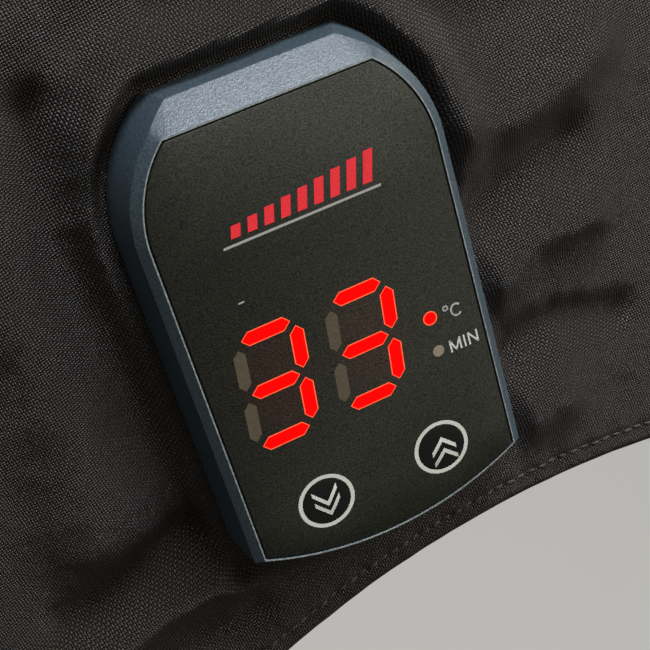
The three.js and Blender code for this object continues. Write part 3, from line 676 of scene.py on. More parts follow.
@dataclass
class SideFlap:
    """A side flap: cloth drawn round the shoulder and in to a gathered hem with an elastic in it."""

    side: Side
    node: str
    sizes: WarmerSizes = field(default_factory=WarmerSizes)
    gather_count: int = 20
    gather_depth: float = 9.0
    near_controller: float = math.radians(21)
    fine_step: float = math.radians(0.22)
    coarse_step: float = math.radians(1.1)
    hem_roll: float = 2.9
    placket_width: float = 26.0
    bank_rise: float = 5.4

    @property
    def slope(self) -> float:
        """The flap's slope towards its hem."""
        return self.sizes.upper_slope if self.side is Side.UPPER else 0.0

    def azimuths(self) -> np.ndarray:
        """Azimuths from one end of the strip round to the other, close together beside the controller."""
        start, end = self.sizes.closure, self.sizes.closure + 2 * math.pi
        middle, reach = math.pi / 2, self.near_controller
        if self.side is Side.LOWER:
            return np.linspace(start, end, int((end - start) / (1.3 * self.coarse_step)))
        before = np.linspace(start, middle - reach, int((middle - reach - start) / self.coarse_step))
        beside = np.linspace(middle - reach, middle + reach, int(2 * reach / self.fine_step))
        after = np.linspace(middle + reach, end, int((end - middle - reach) / self.coarse_step))
        return np.concatenate([before, beside[1:-1], after])

    def section(self) -> np.ndarray:
        """The flap's closed section as radius, depth into the warmer and developed reach, a point a row."""
        s = self.sizes
        step = 1.35 if self.side is Side.UPPER else 4.0
        quarter = np.linspace(0, math.pi / 2, 12)
        inner = s.shoulder - s.cloth
        rows: list[tuple[float, float, float]] = []
        drop = s.seam_depth - s.shoulder
        edge_reach = s.shoulder_centre + s.shoulder * math.pi / 2
        for share in (1.0, 0.66, 0.33):
            rows.append((s.cover_radius, s.shoulder + drop * share, edge_reach + drop * share))
        for turn in quarter:
            out = math.cos(turn)
            up = math.sin(turn)
            reach = s.shoulder_centre + s.shoulder * (math.pi / 2 - turn)
            rows.append((s.shoulder_centre + s.shoulder * out, s.shoulder * (1 - up), reach))
        roll = self.hem_roll
        roll_radius = s.hem_radius + roll
        flat = np.linspace(s.shoulder_centre, s.hem_radius + 7.5, int((s.shoulder_centre - roll_radius) / step))
        seam = np.linspace(s.hem_radius + 7.0, roll_radius, 9)
        rows += [(r, s.fall(r, self.slope), r) for r in (*flat[1:], *seam)]
        for turn in np.linspace(0, math.pi, 11)[1:]:
            r = roll_radius - roll * math.sin(turn)
            rows.append((r, s.fall(r, self.slope) + roll * (1 - math.cos(turn)), roll_radius - roll * turn))
        hem_end = s.hem_radius + s.hem_width
        tail = ((roll_radius + 2.5, 5.4), (hem_end, 3.6), (hem_end, 2.0), (roll_radius + 2.0, 3.8))
        tail += ((s.hem_radius + s.cloth, 4.2), (s.hem_radius + s.cloth, s.cloth), (hem_end, s.cloth))
        rows += [(r, s.fall(r, self.slope) + d, 2 * s.hem_radius - r) for r, d in tail]
        back = np.linspace(hem_end, s.shoulder_centre, int((s.shoulder_centre - hem_end) / (2.4 * step)))
        rows += [(r, s.fall(r, self.slope) + s.cloth, r) for r in back[1:]]
        for turn in quarter[::-2][1:]:
            reach = s.shoulder_centre + s.shoulder * (math.pi / 2 - turn)
            up = inner * math.sin(turn)
            rows.append((s.shoulder_centre + inner * math.cos(turn), s.shoulder - up, reach))
        rows.append((s.shoulder_centre + inner, s.seam_depth, edge_reach + drop))
        return np.array(rows)

    def gather(self, azimuth: np.ndarray, radius: np.ndarray) -> np.ndarray:
        """Depth of the gathers: most at the hem, none beside the controller or the closure."""
        s = self.sizes
        inward = np.clip(radius - s.hem_radius, 0, None)
        share = np.interp(inward, (0, 22, 62, s.shoulder_centre - s.hem_radius), (1, 0.74, 0.22, 0))
        from_controller = np.abs(np.angle(np.exp(1j * (azimuth - math.pi / 2))))
        from_closure = np.abs(np.angle(np.exp(1j * (azimuth - s.closure))))
        beside = smooth_step(from_controller, math.radians(18), math.radians(36))
        beside *= smooth_step(from_closure, math.radians(4), math.radians(18))
        uneven = 1 + 0.2 * np.sin(3 * azimuth + 1) - 0.15 * np.cos(7 * azimuth)
        wave = (1 - np.cos(self.gather_count * azimuth)) / 2
        return self.gather_depth * share * beside * uneven * wave

    def wrinkle(self, x: np.ndarray, y: np.ndarray, radius: np.ndarray) -> np.ndarray:
        """How far the slack cloth stands proud at a place, in millimetres, before the controller flattens it."""
        s = self.sizes
        seed = 11 if self.side is Side.UPPER else 23
        slack = 0.9 * ripple(x, y, 44, seed) + 0.5 * ripple(x, y, 19, seed + 1)
        crease = 0.22 * (1 - 2 * np.abs(ripple(x, y, 13, seed + 2)))
        keep = smooth_step(radius, s.hem_radius - 1, s.hem_radius + 14)
        keep *= 1 - 0.7 * smooth_step(radius, s.shoulder_centre - 20, s.shoulder_centre + 4)
        lift = (slack + crease) * (0.25 + 0.75 * keep)
        azimuth = np.arctan2(y, x)
        pucker = 0.22 * np.sin(azimuth * s.hem_radius / 1.05) * np.exp(-(((radius - 205) / 3.0) ** 2))
        seam = -0.5 * np.exp(-(((radius - 205) / 1.1) ** 2))
        return lift + pucker + seam

    def beside_controller(self, x: np.ndarray, y: np.ndarray, lift: np.ndarray) -> np.ndarray:
        """Add the folds round the controller, and hold the cloth flat between its plates.

        Args:
            x: World X of each point in millimetres.
            y: World Y of each point in millimetres.
            lift: How far the slack cloth stands proud there.

        Returns:
            The lift with the folds in it, and none under the housing.
        """
        if self.side is Side.LOWER:
            return lift
        turn = self.sizes.controller_turn
        along = y - self.sizes.controller_radius
        px = x * math.cos(turn) + along * math.sin(turn)
        py = -x * math.sin(turn) + along * math.cos(turn)
        near = 1 - smooth_step(np.hypot(px / 95, (py - 10) / 105), 0.75, 1.0)
        folds = sum(fold.lift(px, py) for fold in CONTROLLER_FOLDS)
        outside = HousingOutline().distance(px, py)
        clear = smooth_step(outside, 0.3, 6.0)
        bank = self.bank_rise * smooth_step(py, 10.0, 45.0) * np.exp(-(((outside - 4.0) / 5.5) ** 2))
        return (lift + near * folds) * clear + near * bank * smooth_step(outside, 0.2, 4.0)

    def surface(self, azimuth: np.ndarray, section: np.ndarray) -> np.ndarray:
        """World places of section points turned to the given azimuths.

        Args:
            azimuth: Azimuths, broadcast against the section's rows.
            section: Radius and depth in its last axis.

        Returns:
            Places in millimetres, with X, Y and Z in the last axis.
        """
        s = self.sizes
        radius, depth = section[..., 0], section[..., 1]
        x, y = radius * np.cos(azimuth), radius * np.sin(azimuth)
        lift = self.beside_controller(x, y, self.wrinkle(x, y, radius))
        turned = smooth_step(radius, s.shoulder_centre, s.cover_radius)
        down = depth + self.gather(azimuth, radius) - lift * (1 - turned)
        out = 1 + lift * turned * 0.6 / s.cover_radius
        z = s.height - down if self.side is Side.UPPER else np.maximum(down, 0.0)
        return np.stack([x * out, y * out, z], axis=-1)

    def build(self) -> bpy.types.Object:
        """Sweep the section round the ring and close its two ends.

        Returns:
            The flap.
        """
        s = self.sizes
        section = self.section()
        around = self.azimuths()
        start, end = s.closure, s.closure + 2 * math.pi
        share = (around - start) / (end - start)
        trim = np.arcsin(s.closure_slot / 2 / section[:, 0])
        azimuth = start + trim[None, :] + share[:, None] * (end - start - 2 * trim[None, :])
        places = self.surface(azimuth, section[None, :, :])
        count, rows = azimuth.shape
        cell = np.arange(count * rows).reshape(count, rows)
        right, left = cell[:-1], cell[1:]
        quads = np.stack([right, left, np.roll(left, -1, 1), np.roll(right, -1, 1)], axis=-1)
        faces = quads.reshape(-1, 4).tolist() + [cell[0].tolist(), cell[-1][::-1].tolist()]
        reach = np.broadcast_to(section[:, 2], azimuth.shape)
        uv = np.stack([reach * np.cos(azimuth), reach * np.sin(azimuth)], axis=-1).reshape(-1, 2)
        piece = add_piece(f"{self.node}_cloth", places.reshape(-1, 3), faces, COVER_CLOTH, uv, 60.0)
        hold(piece, WARMER, self.node)
        return piece

    def placket(self) -> bpy.types.Object:
        """Make the strip of cloth under the closure that keeps the slit shut.

        Returns:
            The placket, which follows the flap's inner face from the hem out to the shoulder.
        """
        s = self.sizes
        across = np.linspace(-self.placket_width / 2, self.placket_width / 2, 14)
        skins = []
        for depth in (s.cloth + 0.35, s.cloth + 1.15):
            run = np.linspace(s.hem_radius + s.hem_width + 2, s.shoulder_centre, 50)
            turns = np.linspace(math.pi / 2, math.radians(12), 12)[1:]
            arc = s.shoulder - depth
            radius = np.concatenate([run, s.shoulder_centre + arc * np.cos(turns)])
            down = np.concatenate([s.fall(run, self.slope) + depth, s.shoulder - arc * np.sin(turns)])
            section = np.stack([radius, down], axis=-1)[:, None, :]
            azimuth = s.closure + across[None, :] / radius[:, None]
            skins.append(self.surface(azimuth, section))
        rows, columns = skins[0].shape[:2]
        cell = np.arange(rows * columns).reshape(rows, columns)
        face = np.stack([cell[:-1, :-1], cell[1:, :-1], cell[1:, 1:], cell[:-1, 1:]], axis=-1).reshape(-1, 4)
        border = [*cell[0], *cell[1:, -1], *cell[-1, -2::-1], *cell[-2:0:-1, 0]]
        faces = face.tolist() + (face[:, ::-1] + cell.size).tolist()
        for a, b in zip(border, border[1:] + border[:1]):
            faces.append([a, b, b + cell.size, a + cell.size])
        points = np.concatenate([skin.reshape(-1, 3) for skin in skins])
        name = f"{self.side.name.lower()}_closure_placket"
        piece = add_piece(name, points, faces, COVER_CLOTH, points[:, :2], 50.0)
        hold(piece, WARMER)
        return piece

    def cut_area(self) -> float:
        """Area of the flat ring that the flap is cut from, in square metres: both faces' developed mean."""
        s = self.sizes
        outer = s.shoulder_centre + s.shoulder * math.pi / 2 + s.seam_depth - s.shoulder
        inner = s.hem_radius - s.hem_width
        return math.pi * (outer**2 - inner**2) * MM**2

    def stitch_path(self, radius: float, start: float, end: float, step: float) -> np.ndarray:
        """Points of a row of stitches on the flap's outer face."""
        around = np.arange(start, end, step / radius)
        section = np.broadcast_to(np.array([radius, self.sizes.fall(radius, self.slope)]), (len(around), 2))
        return self.surface(around, section)


@dataclass(frozen=True)
class HousingOutline:
    """The controller's outline in plan: straight sides, round shoulders and a slightly bowed foot."""

    half_width: float = 26.0
    top: float = 53.9
    arc_radius: float = 22.6
    arc_x: float = 3.4
    arc_y: float = 37.0
    bottom_radius: float = 61.2
    bottom_centre: float = 28.7
    land: float = 0.6

    def points(self, side: float, top: float, bottom: float) -> np.ndarray:
        """The outline grown at its sides, top and bottom, from its foot round to the right.

        Args:
            side: How far the sides and shoulders grow, in millimetres.
            top: How far the straight top grows.
            bottom: How far the bowed foot grows.

        Returns:
            One point a row. Grown outlines have matching points.
        """
        ridge = math.asin((self.top + self.land - self.arc_y) / (self.arc_radius + self.land))
        arc = self.arc_radius + side
        corner_y = self.top + top
        corner = math.asin(min(1.0, (corner_y - self.arc_y) / arc))
        corner_x = self.arc_x + arc * math.cos(corner)
        foot = self.bottom_radius + bottom
        foot_turn = math.asin((self.half_width + side) / foot)
        half = [
            (foot * math.sin(foot_turn * i / 14), self.bottom_centre - foot * math.cos(foot_turn * i / 14))
            for i in range(1, 15)
        ]
        low = half[-1][1]
        half += [(self.half_width + side, low + (self.arc_y - low) * i / 10) for i in range(1, 10)]
        last = min(corner, ridge)
        for i in range(25):
            turn = last * i / 24
            half.append((self.arc_x + arc * math.cos(turn), self.arc_y + arc * math.sin(turn)))
        for i in range(1, 7):
            turn = last + (corner - last) * i / 6
            if corner > ridge:
                half.append((self.arc_x + arc * math.cos(turn), self.arc_y + arc * math.sin(turn)))
            else:
                half.append((corner_x - 0.2 * i, corner_y))
        end_x = half[-1][0]
        half += [(end_x * (1 - i / 6), corner_y) for i in range(1, 6)]
        right = np.array(half)
        left = right[::-1] * (-1, 1)
        return np.concatenate([[(0, self.bottom_centre - foot)], right, [(0, corner_y)], left])

    def distance(self, x: np.ndarray, y: np.ndarray) -> np.ndarray:
        """About how far points lie outside the housing's foot, and 0 inside it."""
        wall = self.half_width + 3.8
        beside = np.clip(np.abs(x) - wall, 0, None)
        above = np.clip(y - self.arc_y, 0, None)
        below = np.clip(-y - 34.0, 0, None)
        round_top = np.hypot(np.clip(np.abs(x) - self.arc_x, 0, None), above) - self.arc_radius - 3.8
        flat_top = y - self.top - 5.4
        over = np.maximum(np.where(above > 0, round_top, 0), flat_top)
        return np.where(above > 0, np.clip(over, 0, None), np.hypot(beside, below))


@dataclass
class BandLayer:
    """One layer of the tread band: a strip bent to a ring, whose ends stop at the closure."""

    node: str
    name: str
    inner: float
    outer: float
    low: float
    high: float
    finish: Finish
    slot: str
    puff: float
    quilt: float = 0.0
    step: float = math.radians(1.0)
    sizes: WarmerSizes = field(default_factory=WarmerSizes)

    def relief(self, run: np.ndarray, z: np.ndarray) -> np.ndarray:
        """How far the outer face stands proud, from its padding, its quilting and its edges.

        Args:
            run: Arc length round the ring in millimetres.
            z: Height in millimetres.

        Returns:
            Height above the plain face in millimetres.
        """
        inside = np.minimum(z - self.low, self.high - z)
        slack = self.puff * (0.6 * ripple(run, z, 70, 31) + 0.4 * ripple(run, z * 1.8, 27, 32))
        pads = 0.0
        if self.quilt:
            pads = 0.5 * np.abs(np.sin(math.pi * (run + z) / self.quilt) * np.sin(math.pi * (run - z) / self.quilt))
        edge = smooth_step(inside, 0.0, 7.0)
        return (slack - pads) * edge - 0.35 * np.exp(-(((inside - 4.5) / 0.9) ** 2))

    def build(self) -> bpy.types.Object:
        """Sweep the layer's section round the ring.

        Returns:
            The layer.
        """
        s = self.sizes
        across = max(6, int((self.high - self.low) / 4.5))
        outside = np.linspace(self.low, self.high, across)
        bevel = min(0.4, (self.outer - self.inner) / 3)
        section = [(self.outer, z) for z in outside]
        section[0] = (self.outer, self.low + bevel)
        section[-1] = (self.outer, self.high - bevel)
        section += [(self.outer - bevel, self.high), (self.inner + bevel, self.high), (self.inner, self.high - bevel)]
        section += [(self.inner, z) for z in outside[1:-1][::-1]]
        section += [(self.inner, self.low + bevel), (self.inner + bevel, self.low), (self.outer - bevel, self.low)]
        rows = np.array(section)
        start, end = s.closure, s.closure + 2 * math.pi
        share = np.linspace(0, 1, int((end - start) / self.step))
        trim = np.arcsin(s.closure_slot / 2 / rows[:, 0])
        azimuth = start + trim[None, :] + share[:, None] * (end - start - 2 * trim[None, :])
        run = azimuth * self.outer
        height = np.broadcast_to(rows[:, 1], azimuth.shape)
        relief = self.relief(run, height)
        if self.puff > 0.5:
            relief = relief * (1 - CloseStrap().cover_share(azimuth, height))
        radius = rows[None, :, 0] + relief
        places = np.stack([radius * np.cos(azimuth), radius * np.sin(azimuth), height], axis=-1)
        count, size = azimuth.shape
        cell = np.arange(count * size).reshape(count, size)
        quads = np.stack([cell[:-1], cell[1:], np.roll(cell[1:], -1, 1), np.roll(cell[:-1], -1, 1)], axis=-1)
        faces = quads.reshape(-1, 4).tolist() + [cell[0].tolist(), cell[-1][::-1].tolist()]
        uv = np.stack([run, height], axis=-1).reshape(-1, 2)
        piece = add_piece(self.name, places.reshape(-1, 3), faces, self.finish, uv, 50.0)
        return hold(piece, WARMER, self.node)


@dataclass
class CloseStrap:
    """The strap that closes the ring, with the hook pad under it and the loop pad on the cover."""

    width: float = 100.0
    sewn: float = math.radians(10)
    lap: float = math.radians(13)
    loop_inner: float = 349.5
    pad: float = 1.0
    lap_start: float = math.radians(0.7)
    sizes: WarmerSizes = field(default_factory=WarmerSizes)

    @property
    def strap_inner(self) -> float:
        """The strap's inner radius over its pads."""
        return self.loop_inner + 2 * (self.pad + self.sizes.layer_gap)

    def cover_share(self, azimuth: np.ndarray, z: np.ndarray) -> np.ndarray:
        """1 where the strap lies on the cover, and 0 away from it."""
        turn = np.degrees(np.angle(np.exp(1j * (azimuth - self.sizes.closure))))
        across = np.abs(z - self.sizes.height / 2) - self.width / 2
        along = np.maximum(-turn - math.degrees(self.sewn), turn - math.degrees(self.lap))
        return (1 - smooth_step(across, 0, 12)) * (1 - smooth_step(along, 0, 2.5))

    def inner_at(self, turn: np.ndarray) -> np.ndarray:
        """The strap's inner radius at a turn from the closure."""
        rise = smooth_step(turn, math.radians(-1.5), 0.0)
        return self.loop_inner + (self.strap_inner - self.loop_inner) * rise

    def strip(
        self,
        name: str,
        start: float,
        end: float,
        inner: Callable[[np.ndarray], np.ndarray],
        thickness: float,
        inset: float,
        finish: Finish,
    ) -> bpy.types.Object:
        """Make a bent strip with round corners and edges.

        Args:
            name: The piece's name.
            start: Its first turn from the closure, in radians.
            end: Its last turn.
            inner: Gives its inner radius at turns.
            thickness: Its thickness in millimetres.
            inset: How far its long edges lie inside the strap's.
            finish: Its finish.

        Returns:
            The strip.
        """
        s = self.sizes
        half = self.width / 2 - inset
        corner = 9.0
        turns = np.linspace(start, end, max(12, int(math.degrees(end - start) * 2.5)))
        run = (turns - start) * s.cover_radius
        from_end = np.minimum(run, run[-1] - run)
        cut = corner - np.sqrt(np.clip(corner**2 - np.clip(corner - from_end, 0, None) ** 2, 0, None))
        across = np.linspace(-1, 1, 25)
        bevel = 0.3
        points, uv = [], []
        for turn, reach, trim in zip(turns, run, cut):
            low = float(inner(np.array(turn)))
            wide = half - trim
            ring = [(wide * a, low + thickness) for a in across[1:-1]]
            ring = [(-wide, low + thickness - bevel)] + ring + [(wide, low + thickness - bevel)]
            ring += [(wide, low + bevel)] + [(wide * a, low) for a in across[1:-1][::-1]] + [(-wide, low + bevel)]
            azimuth = s.closure + turn
            for z, radius in ring:
                points.append((radius * math.cos(azimuth), radius * math.sin(azimuth), z + s.height / 2))
                uv.append((reach, z))
        size = 2 * len(across)
        cell = np.arange(len(points)).reshape(-1, size)
        quads = np.stack([cell[:-1], cell[1:], np.roll(cell[1:], -1, 1), np.roll(cell[:-1], -1, 1)], axis=-1)
        faces = quads.reshape(-1, 4).tolist() + [cell[0].tolist(), cell[-1][::-1].tolist()]
        return add_piece(name, np.array(points), faces, finish, np.array(uv), 50.0)

    def build(self) -> None:
        """Make the strap and its two pads."""
        cloth = self.sizes.cloth
        strap = self.strip("closing_strap_cloth", -self.sewn, self.lap, self.inner_at, cloth, 0, STRAP_CLOTH)
        hold(strap, WARMER, "closing_strap")
        hook_inner = self.loop_inner + self.pad + self.sizes.layer_gap
        hook = self.strip(
            "hook_tape", self.lap_start, self.lap - self.lap_start, lambda turn: turn * 0 + hook_inner,
            self.pad, 1.0, HOOK_TAPE,
        )
        hold(hook, WARMER, "hook_pad")
        loop = self.strip(
            "loop_tape", self.lap_start, self.lap + self.lap_start, lambda turn: turn * 0 + self.loop_inner,
            self.pad, 0.0, HOOK_TAPE,
        )
        hold(loop, WARMER, "loop_pad")

    def stitch_paths(self) -> list[np.ndarray]:
        """Rows of stitches along the strap's long edges, and the box that sews its end down."""
        s = self.sizes
        outer = lambda turn: self.inner_at(turn) + s.cloth + 0.05
        edge = self.width / 2 - 4
        rows = []
        for z in (-edge, edge):
            turns = np.linspace(-self.sewn + 0.01, self.lap - 0.01, 160)
            rows.append(self.on_strap(turns, np.full_like(turns, z), outer))
        for turn in (-self.sewn + 0.012, -self.sewn + 0.075):
            z = np.linspace(-edge, edge, 90)
            rows.append(self.on_strap(np.full_like(z, turn), z, outer))
        return rows

    def on_strap(self, turns: np.ndarray, z: np.ndarray, outer: Callable[[np.ndarray], np.ndarray]) -> np.ndarray:
        """World places on the strap's outer face."""
        radius = outer(turns)
        azimuth = self.sizes.closure + turns
        return np.stack([radius * np.cos(azimuth), radius * np.sin(azimuth), z + self.sizes.height / 2], axis=-1)


@dataclass
class Stitching:
    """Rows of lock stitches, laid along curves by one Geometry Nodes tree."""

    pitch: float = 2.6
    length: float = 2.1
    thread: float = 0.34
    seed: int = 7

    def tree(self) -> bpy.types.NodeTree:
        """Build the tree that lays stitches along a curve, once.

        Returns:
            The node tree, with named inputs for its sizes.
        """
        known = bpy.data.node_groups.get("stitch_row")
        if known is not None:
            return known
        tree = bpy.data.node_groups.new("stitch_row", "GeometryNodeTree")
        tree.interface.new_socket(name="Geometry", in_out="INPUT", socket_type="NodeSocketGeometry")
        for name in ("Pitch", "Length", "Thread"):
            tree.interface.new_socket(name=name, in_out="INPUT", socket_type="NodeSocketFloat")
        tree.interface.new_socket(name="Seed", in_out="INPUT", socket_type="NodeSocketInt")
        tree.interface.new_socket(name="Material", in_out="INPUT", socket_type="NodeSocketMaterial")
        tree.interface.new_socket(name="Geometry", in_out="OUTPUT", socket_type="NodeSocketGeometry")
        given = add_node(tree, "NodeGroupInput")
        row = add_node(
            tree,
            "GeometryNodeCurveToPoints",
            {"mode": "LENGTH"},
            {"Curve": given.outputs["Geometry"], "Length": given.outputs["Pitch"]},
        )
        half = add_node(tree, "ShaderNodeMath", {"operation": "MULTIPLY"}, {0: given.outputs["Length"], 1: 0.5})
        size = add_node(
            tree,
            "ShaderNodeCombineXYZ",
            inputs={"X": half, "Y": given.outputs["Thread"], "Z": given.outputs["Thread"]},
        )
        bead = add_node(tree, "GeometryNodeMeshUVSphere", inputs={"Segments": 8, "Rings": 5, "Radius": 1.0})
        stitch = add_node(
            tree,
            "GeometryNodeTransform",
            inputs={"Geometry": bead.outputs["Mesh"], "Scale": size},
        )
        turned = add_node(
            tree,
            "FunctionNodeAlignRotationToVector",
            {"axis": "X"},
            {"Vector": row.outputs["Tangent"]},
        )
        uneven = add_node(
            tree,
            "FunctionNodeRandomValue",
            {"data_type": "FLOAT_VECTOR"},
            {0: (0.88, 0.9, 0.9), 1: (1.08, 1.1, 1.1), "Seed": given.outputs["Seed"]},
        )
        laid = add_node(
            tree,
            "GeometryNodeInstanceOnPoints",
            inputs={
                "Points": row.outputs["Points"],
                "Instance": stitch,
                "Rotation": turned,
                "Scale": uneven.outputs[0],
            },
        )
        real = add_node(tree, "GeometryNodeRealizeInstances", inputs={"Geometry": laid})
        smooth = add_node(tree, "GeometryNodeSetShadeSmooth", inputs={"Geometry": real})
        dressed = add_node(
            tree,
            "GeometryNodeSetMaterial",
            inputs={"Geometry": smooth, "Material": given.outputs["Material"]},
        )
        add_node(tree, "NodeGroupOutput", inputs={"Geometry": dressed})
        return tree

    def lay(self, name: str, paths: Iterable[np.ndarray]) -> bpy.types.Object:
        """Lay rows of stitches.

        Args:
            name: The piece's name.
            paths: The rows, each an array of places in millimetres.

        Returns:
            The stitches as one mesh.
        """
        curve = bpy.data.curves.new(name, "CURVE")
        curve.dimensions = "3D"
        for path in paths:
            spline = curve.splines.new("POLY")
            spline.points.add(len(path) - 1)
            spline.points.foreach_set("co", np.c_[path * MM, np.ones(len(path))].astype(np.float32).ravel())
        row = bpy.data.objects.new(name, curve)
        bpy.context.scene.collection.objects.link(row)
        layer = row.modifiers.new("stitches", "NODES")
        layer.node_group = self.tree()
        values = {
            "Pitch": self.pitch * MM,
            "Length": self.length * MM,
            "Thread": self.thread * MM,
            "Seed": self.seed,
            "Material": THREAD.material(),
        }
        for item in layer.node_group.interface.items_tree:
            if item.in_out == "INPUT" and item.name in values:
                layer[item.identifier] = values[item.name]
        piece = settle(row)
        return hold(piece, WARMER)


@dataclass
class ControllerHousing:
    """The controller's moulded shell: a broad slope at its top end and narrow bevels round its sides."""

    outline: HousingOutline = field(default_factory=HousingOutline)
    side_bevel: float = 2.3
    side_drop: float = 1.6
    bottom_bevel: float = 1.8
    top_bevel: float = 5.1
    top_drop: float = 5.3
    draft: float = 1.5
    top_draft: float = 0.3
    wall: float = 2.0
    seat_gap: float = 0.4
    roof: float = 10.4
    film_gap: float = 0.3
    recess: float = 11.9
    level: float = 13.0
    boss_radius: float = 3.0
    boss_places: tuple[tuple[float, float], ...] = ((19, 36), (-19, 36), (-21, -12), (21, -12))
    edge_round: float = 0.32
    land_inner: float = 0.36
    land_outer: float = 0.58
    sizes: WarmerSizes = field(default_factory=WarmerSizes)

    def ring(self, grown: tuple[float, float, float], level: float | None) -> np.ndarray:
        """One ring of the shell's skin.

        Args:
            grown: How far the outline grows at its sides, top and bottom.
            level: The ring's height over the seat, or None for the bevels' lower edge.

        Returns:
            Points on the seat's axes, turned with the controller.
        """
        points = self.outline.points(*grown)
        if level is not None:
            return np.c_[points, np.full(len(points), level)]
        drop = (points[:, 1] - self.outline.top) * self.top_drop / self.top_bevel
        return np.c_[points, self.level - np.maximum(self.side_drop, drop)]

    def build(self) -> bpy.types.Object:
        """Loft the shell's outside, recess and inside as one closed skin, and cut its window and holes.

        Returns:
            The housing.
        """
        side, top, bottom = self.side_bevel, self.top_bevel, self.bottom_bevel
        land = self.outline.land
        under = (side + self.draft - self.wall, top + self.top_draft - self.wall, bottom + self.draft / 2 - self.wall)
        slope_top = top * (self.level - self.roof) / self.top_drop
        ceiling = (side - self.wall, slope_top - self.wall - 0.3, bottom - self.wall)
        gap = self.film_gap
        rings = [
            self.ring((side + self.draft, top + self.top_draft, bottom + self.draft / 2), self.seat_gap),
            self.ring((side, top, bottom), None),
            self.ring((land, land, land), self.level),
            self.ring((gap, gap, gap), self.level),
            self.ring((gap, gap, gap), self.recess),
        ]
        inside = [self.ring(ceiling, self.roof), self.ring(under, self.seat_gap)]
        count = len(rings[0])
        faces = [self.cap(4 * count, count)]
        faces += self.walls(0, 4, count)
        base = 5 * count
        faces += [self.cap(base, count)[::-1]] + self.walls(base, 1, count)
        last = base + count
        faces += [(i, (i + 1) % count, last + (i + 1) % count, last + i) for i in range(count)]
        points = np.concatenate(rings + inside)
        frame = self.sizes.panel() @ Matrix.Translation((0, 0, -self.level))
        piece = add_piece(
            "controller_shell", to_frame(frame, points), faces, HOUSING_PLASTIC, None, 28.0
        )
        self.cut_roof(piece, frame)
        bevel = piece.modifiers.new("edge", "BEVEL")
        bevel.width = self.edge_round * MM
        bevel.segments = 3
        bevel.limit_method = "ANGLE"
        bevel.angle_limit = math.radians(24)
        bevel.use_clamp_overlap = True
        settle(piece)
        for polygon in piece.data.polygons:
            polygon.use_smooth = True
        return hold(piece, WARMER, "controller_housing")

    def painted_land_highlight(self) -> bpy.types.Object:
        """Make the land round the film, painted pale as a highlight along the edge that catches the light.

        Returns:
            A thin closed ring that lies on the land.
        """
        levels = ((self.land_inner, -0.04), (self.land_inner, 0.012), (self.land_outer, 0.012), (self.land_outer, -0.04))
        rings = [np.c_[self.outline.points(grow, grow, grow), self.flat(level)] for grow, level in levels]
        count = len(rings[0])
        faces = []
        for band in range(4):
            a, b = band * count, (band + 1) % 4 * count
            faces += [(a + i, b + i, b + (i + 1) % count, a + (i + 1) % count) for i in range(count)]
        points = to_frame(self.sizes.panel(), np.concatenate(rings))
        piece = add_piece("painted_land_highlight", points, faces, LAND_HIGHLIGHT_PAINT, None, 40.0)
        return hold(piece, WARMER)

    def flat(self, level: float) -> np.ndarray:
        """One level for every point of an outline, as a column."""
        return np.full((len(self.outline.points(0, 0, 0)), 1), level)

    def walls(self, base: int, bands: int, count: int) -> list[tuple[int, ...]]:
        """Faces between neighbouring rings of points."""
        return [
            (
                base + band * count + i,
                base + band * count + (i + 1) % count,
                base + (band + 1) * count + (i + 1) % count,
                base + (band + 1) * count + i,
            )
            for band in range(bands)
            for i in range(count)
        ]

    def cap(self, base: int, count: int) -> list[int]:
        """One face over a ring of points."""
        return list(range(base, base + count))

    def cut_roof(self, piece: bpy.types.Object, frame: Matrix) -> None:
        """Cut the display's window and the holes for keys and lamps through the roof.

        Args:
            piece: The housing.
            frame: The seat's frame, turned with the controller.
        """
        cutters = [(-22.75, 12.35, -6.82, 18.78)]
        boxes, faces = [], []
        for x0, x1, y0, y1 in cutters:
            boxes += [(x, y, z) for z in (8.0, 12.4) for x, y in ((x0, y0), (x1, y0), (x1, y1), (x0, y1))]
            faces += [(0, 3, 2, 1), (4, 5, 6, 7), (0, 1, 5, 4), (1, 2, 6, 5), (2, 3, 7, 6), (3, 0, 4, 7)]
        sides = 32
        for x, y, radius in ((12.03, -20.73, 5.2), (-12.03, -20.73, 5.2), (16.5, 5.56, 1.5), (16.5, -1.35, 1.5)):
            base = len(boxes)
            turns = [2 * math.pi * i / sides for i in range(sides)]
            for z in (8.0, 12.4):
                boxes += [(x + radius * math.cos(t), y + radius * math.sin(t), z) for t in turns]
            faces.append(tuple(range(base, base + sides))[::-1])
            faces.append(tuple(range(base + sides, base + 2 * sides)))
            faces += [(base + i, base + (i + 1) % sides, base + sides + (i + 1) % sides, base + sides + i) for i in range(sides)]
        mesh = bpy.data.meshes.new("roof_cutter")
        mesh.from_pydata((to_frame(frame, np.array(boxes)) * MM).tolist(), [], faces)
        cutter = bpy.data.objects.new("roof_cutter", mesh)
        bpy.context.scene.collection.objects.link(cutter)
        holes = piece.modifiers.new("holes", "BOOLEAN")
        holes.operation = "DIFFERENCE"
        holes.solver = "EXACT"
        holes.object = cutter
        settle(piece)
        bpy.data.objects.remove(cutter)


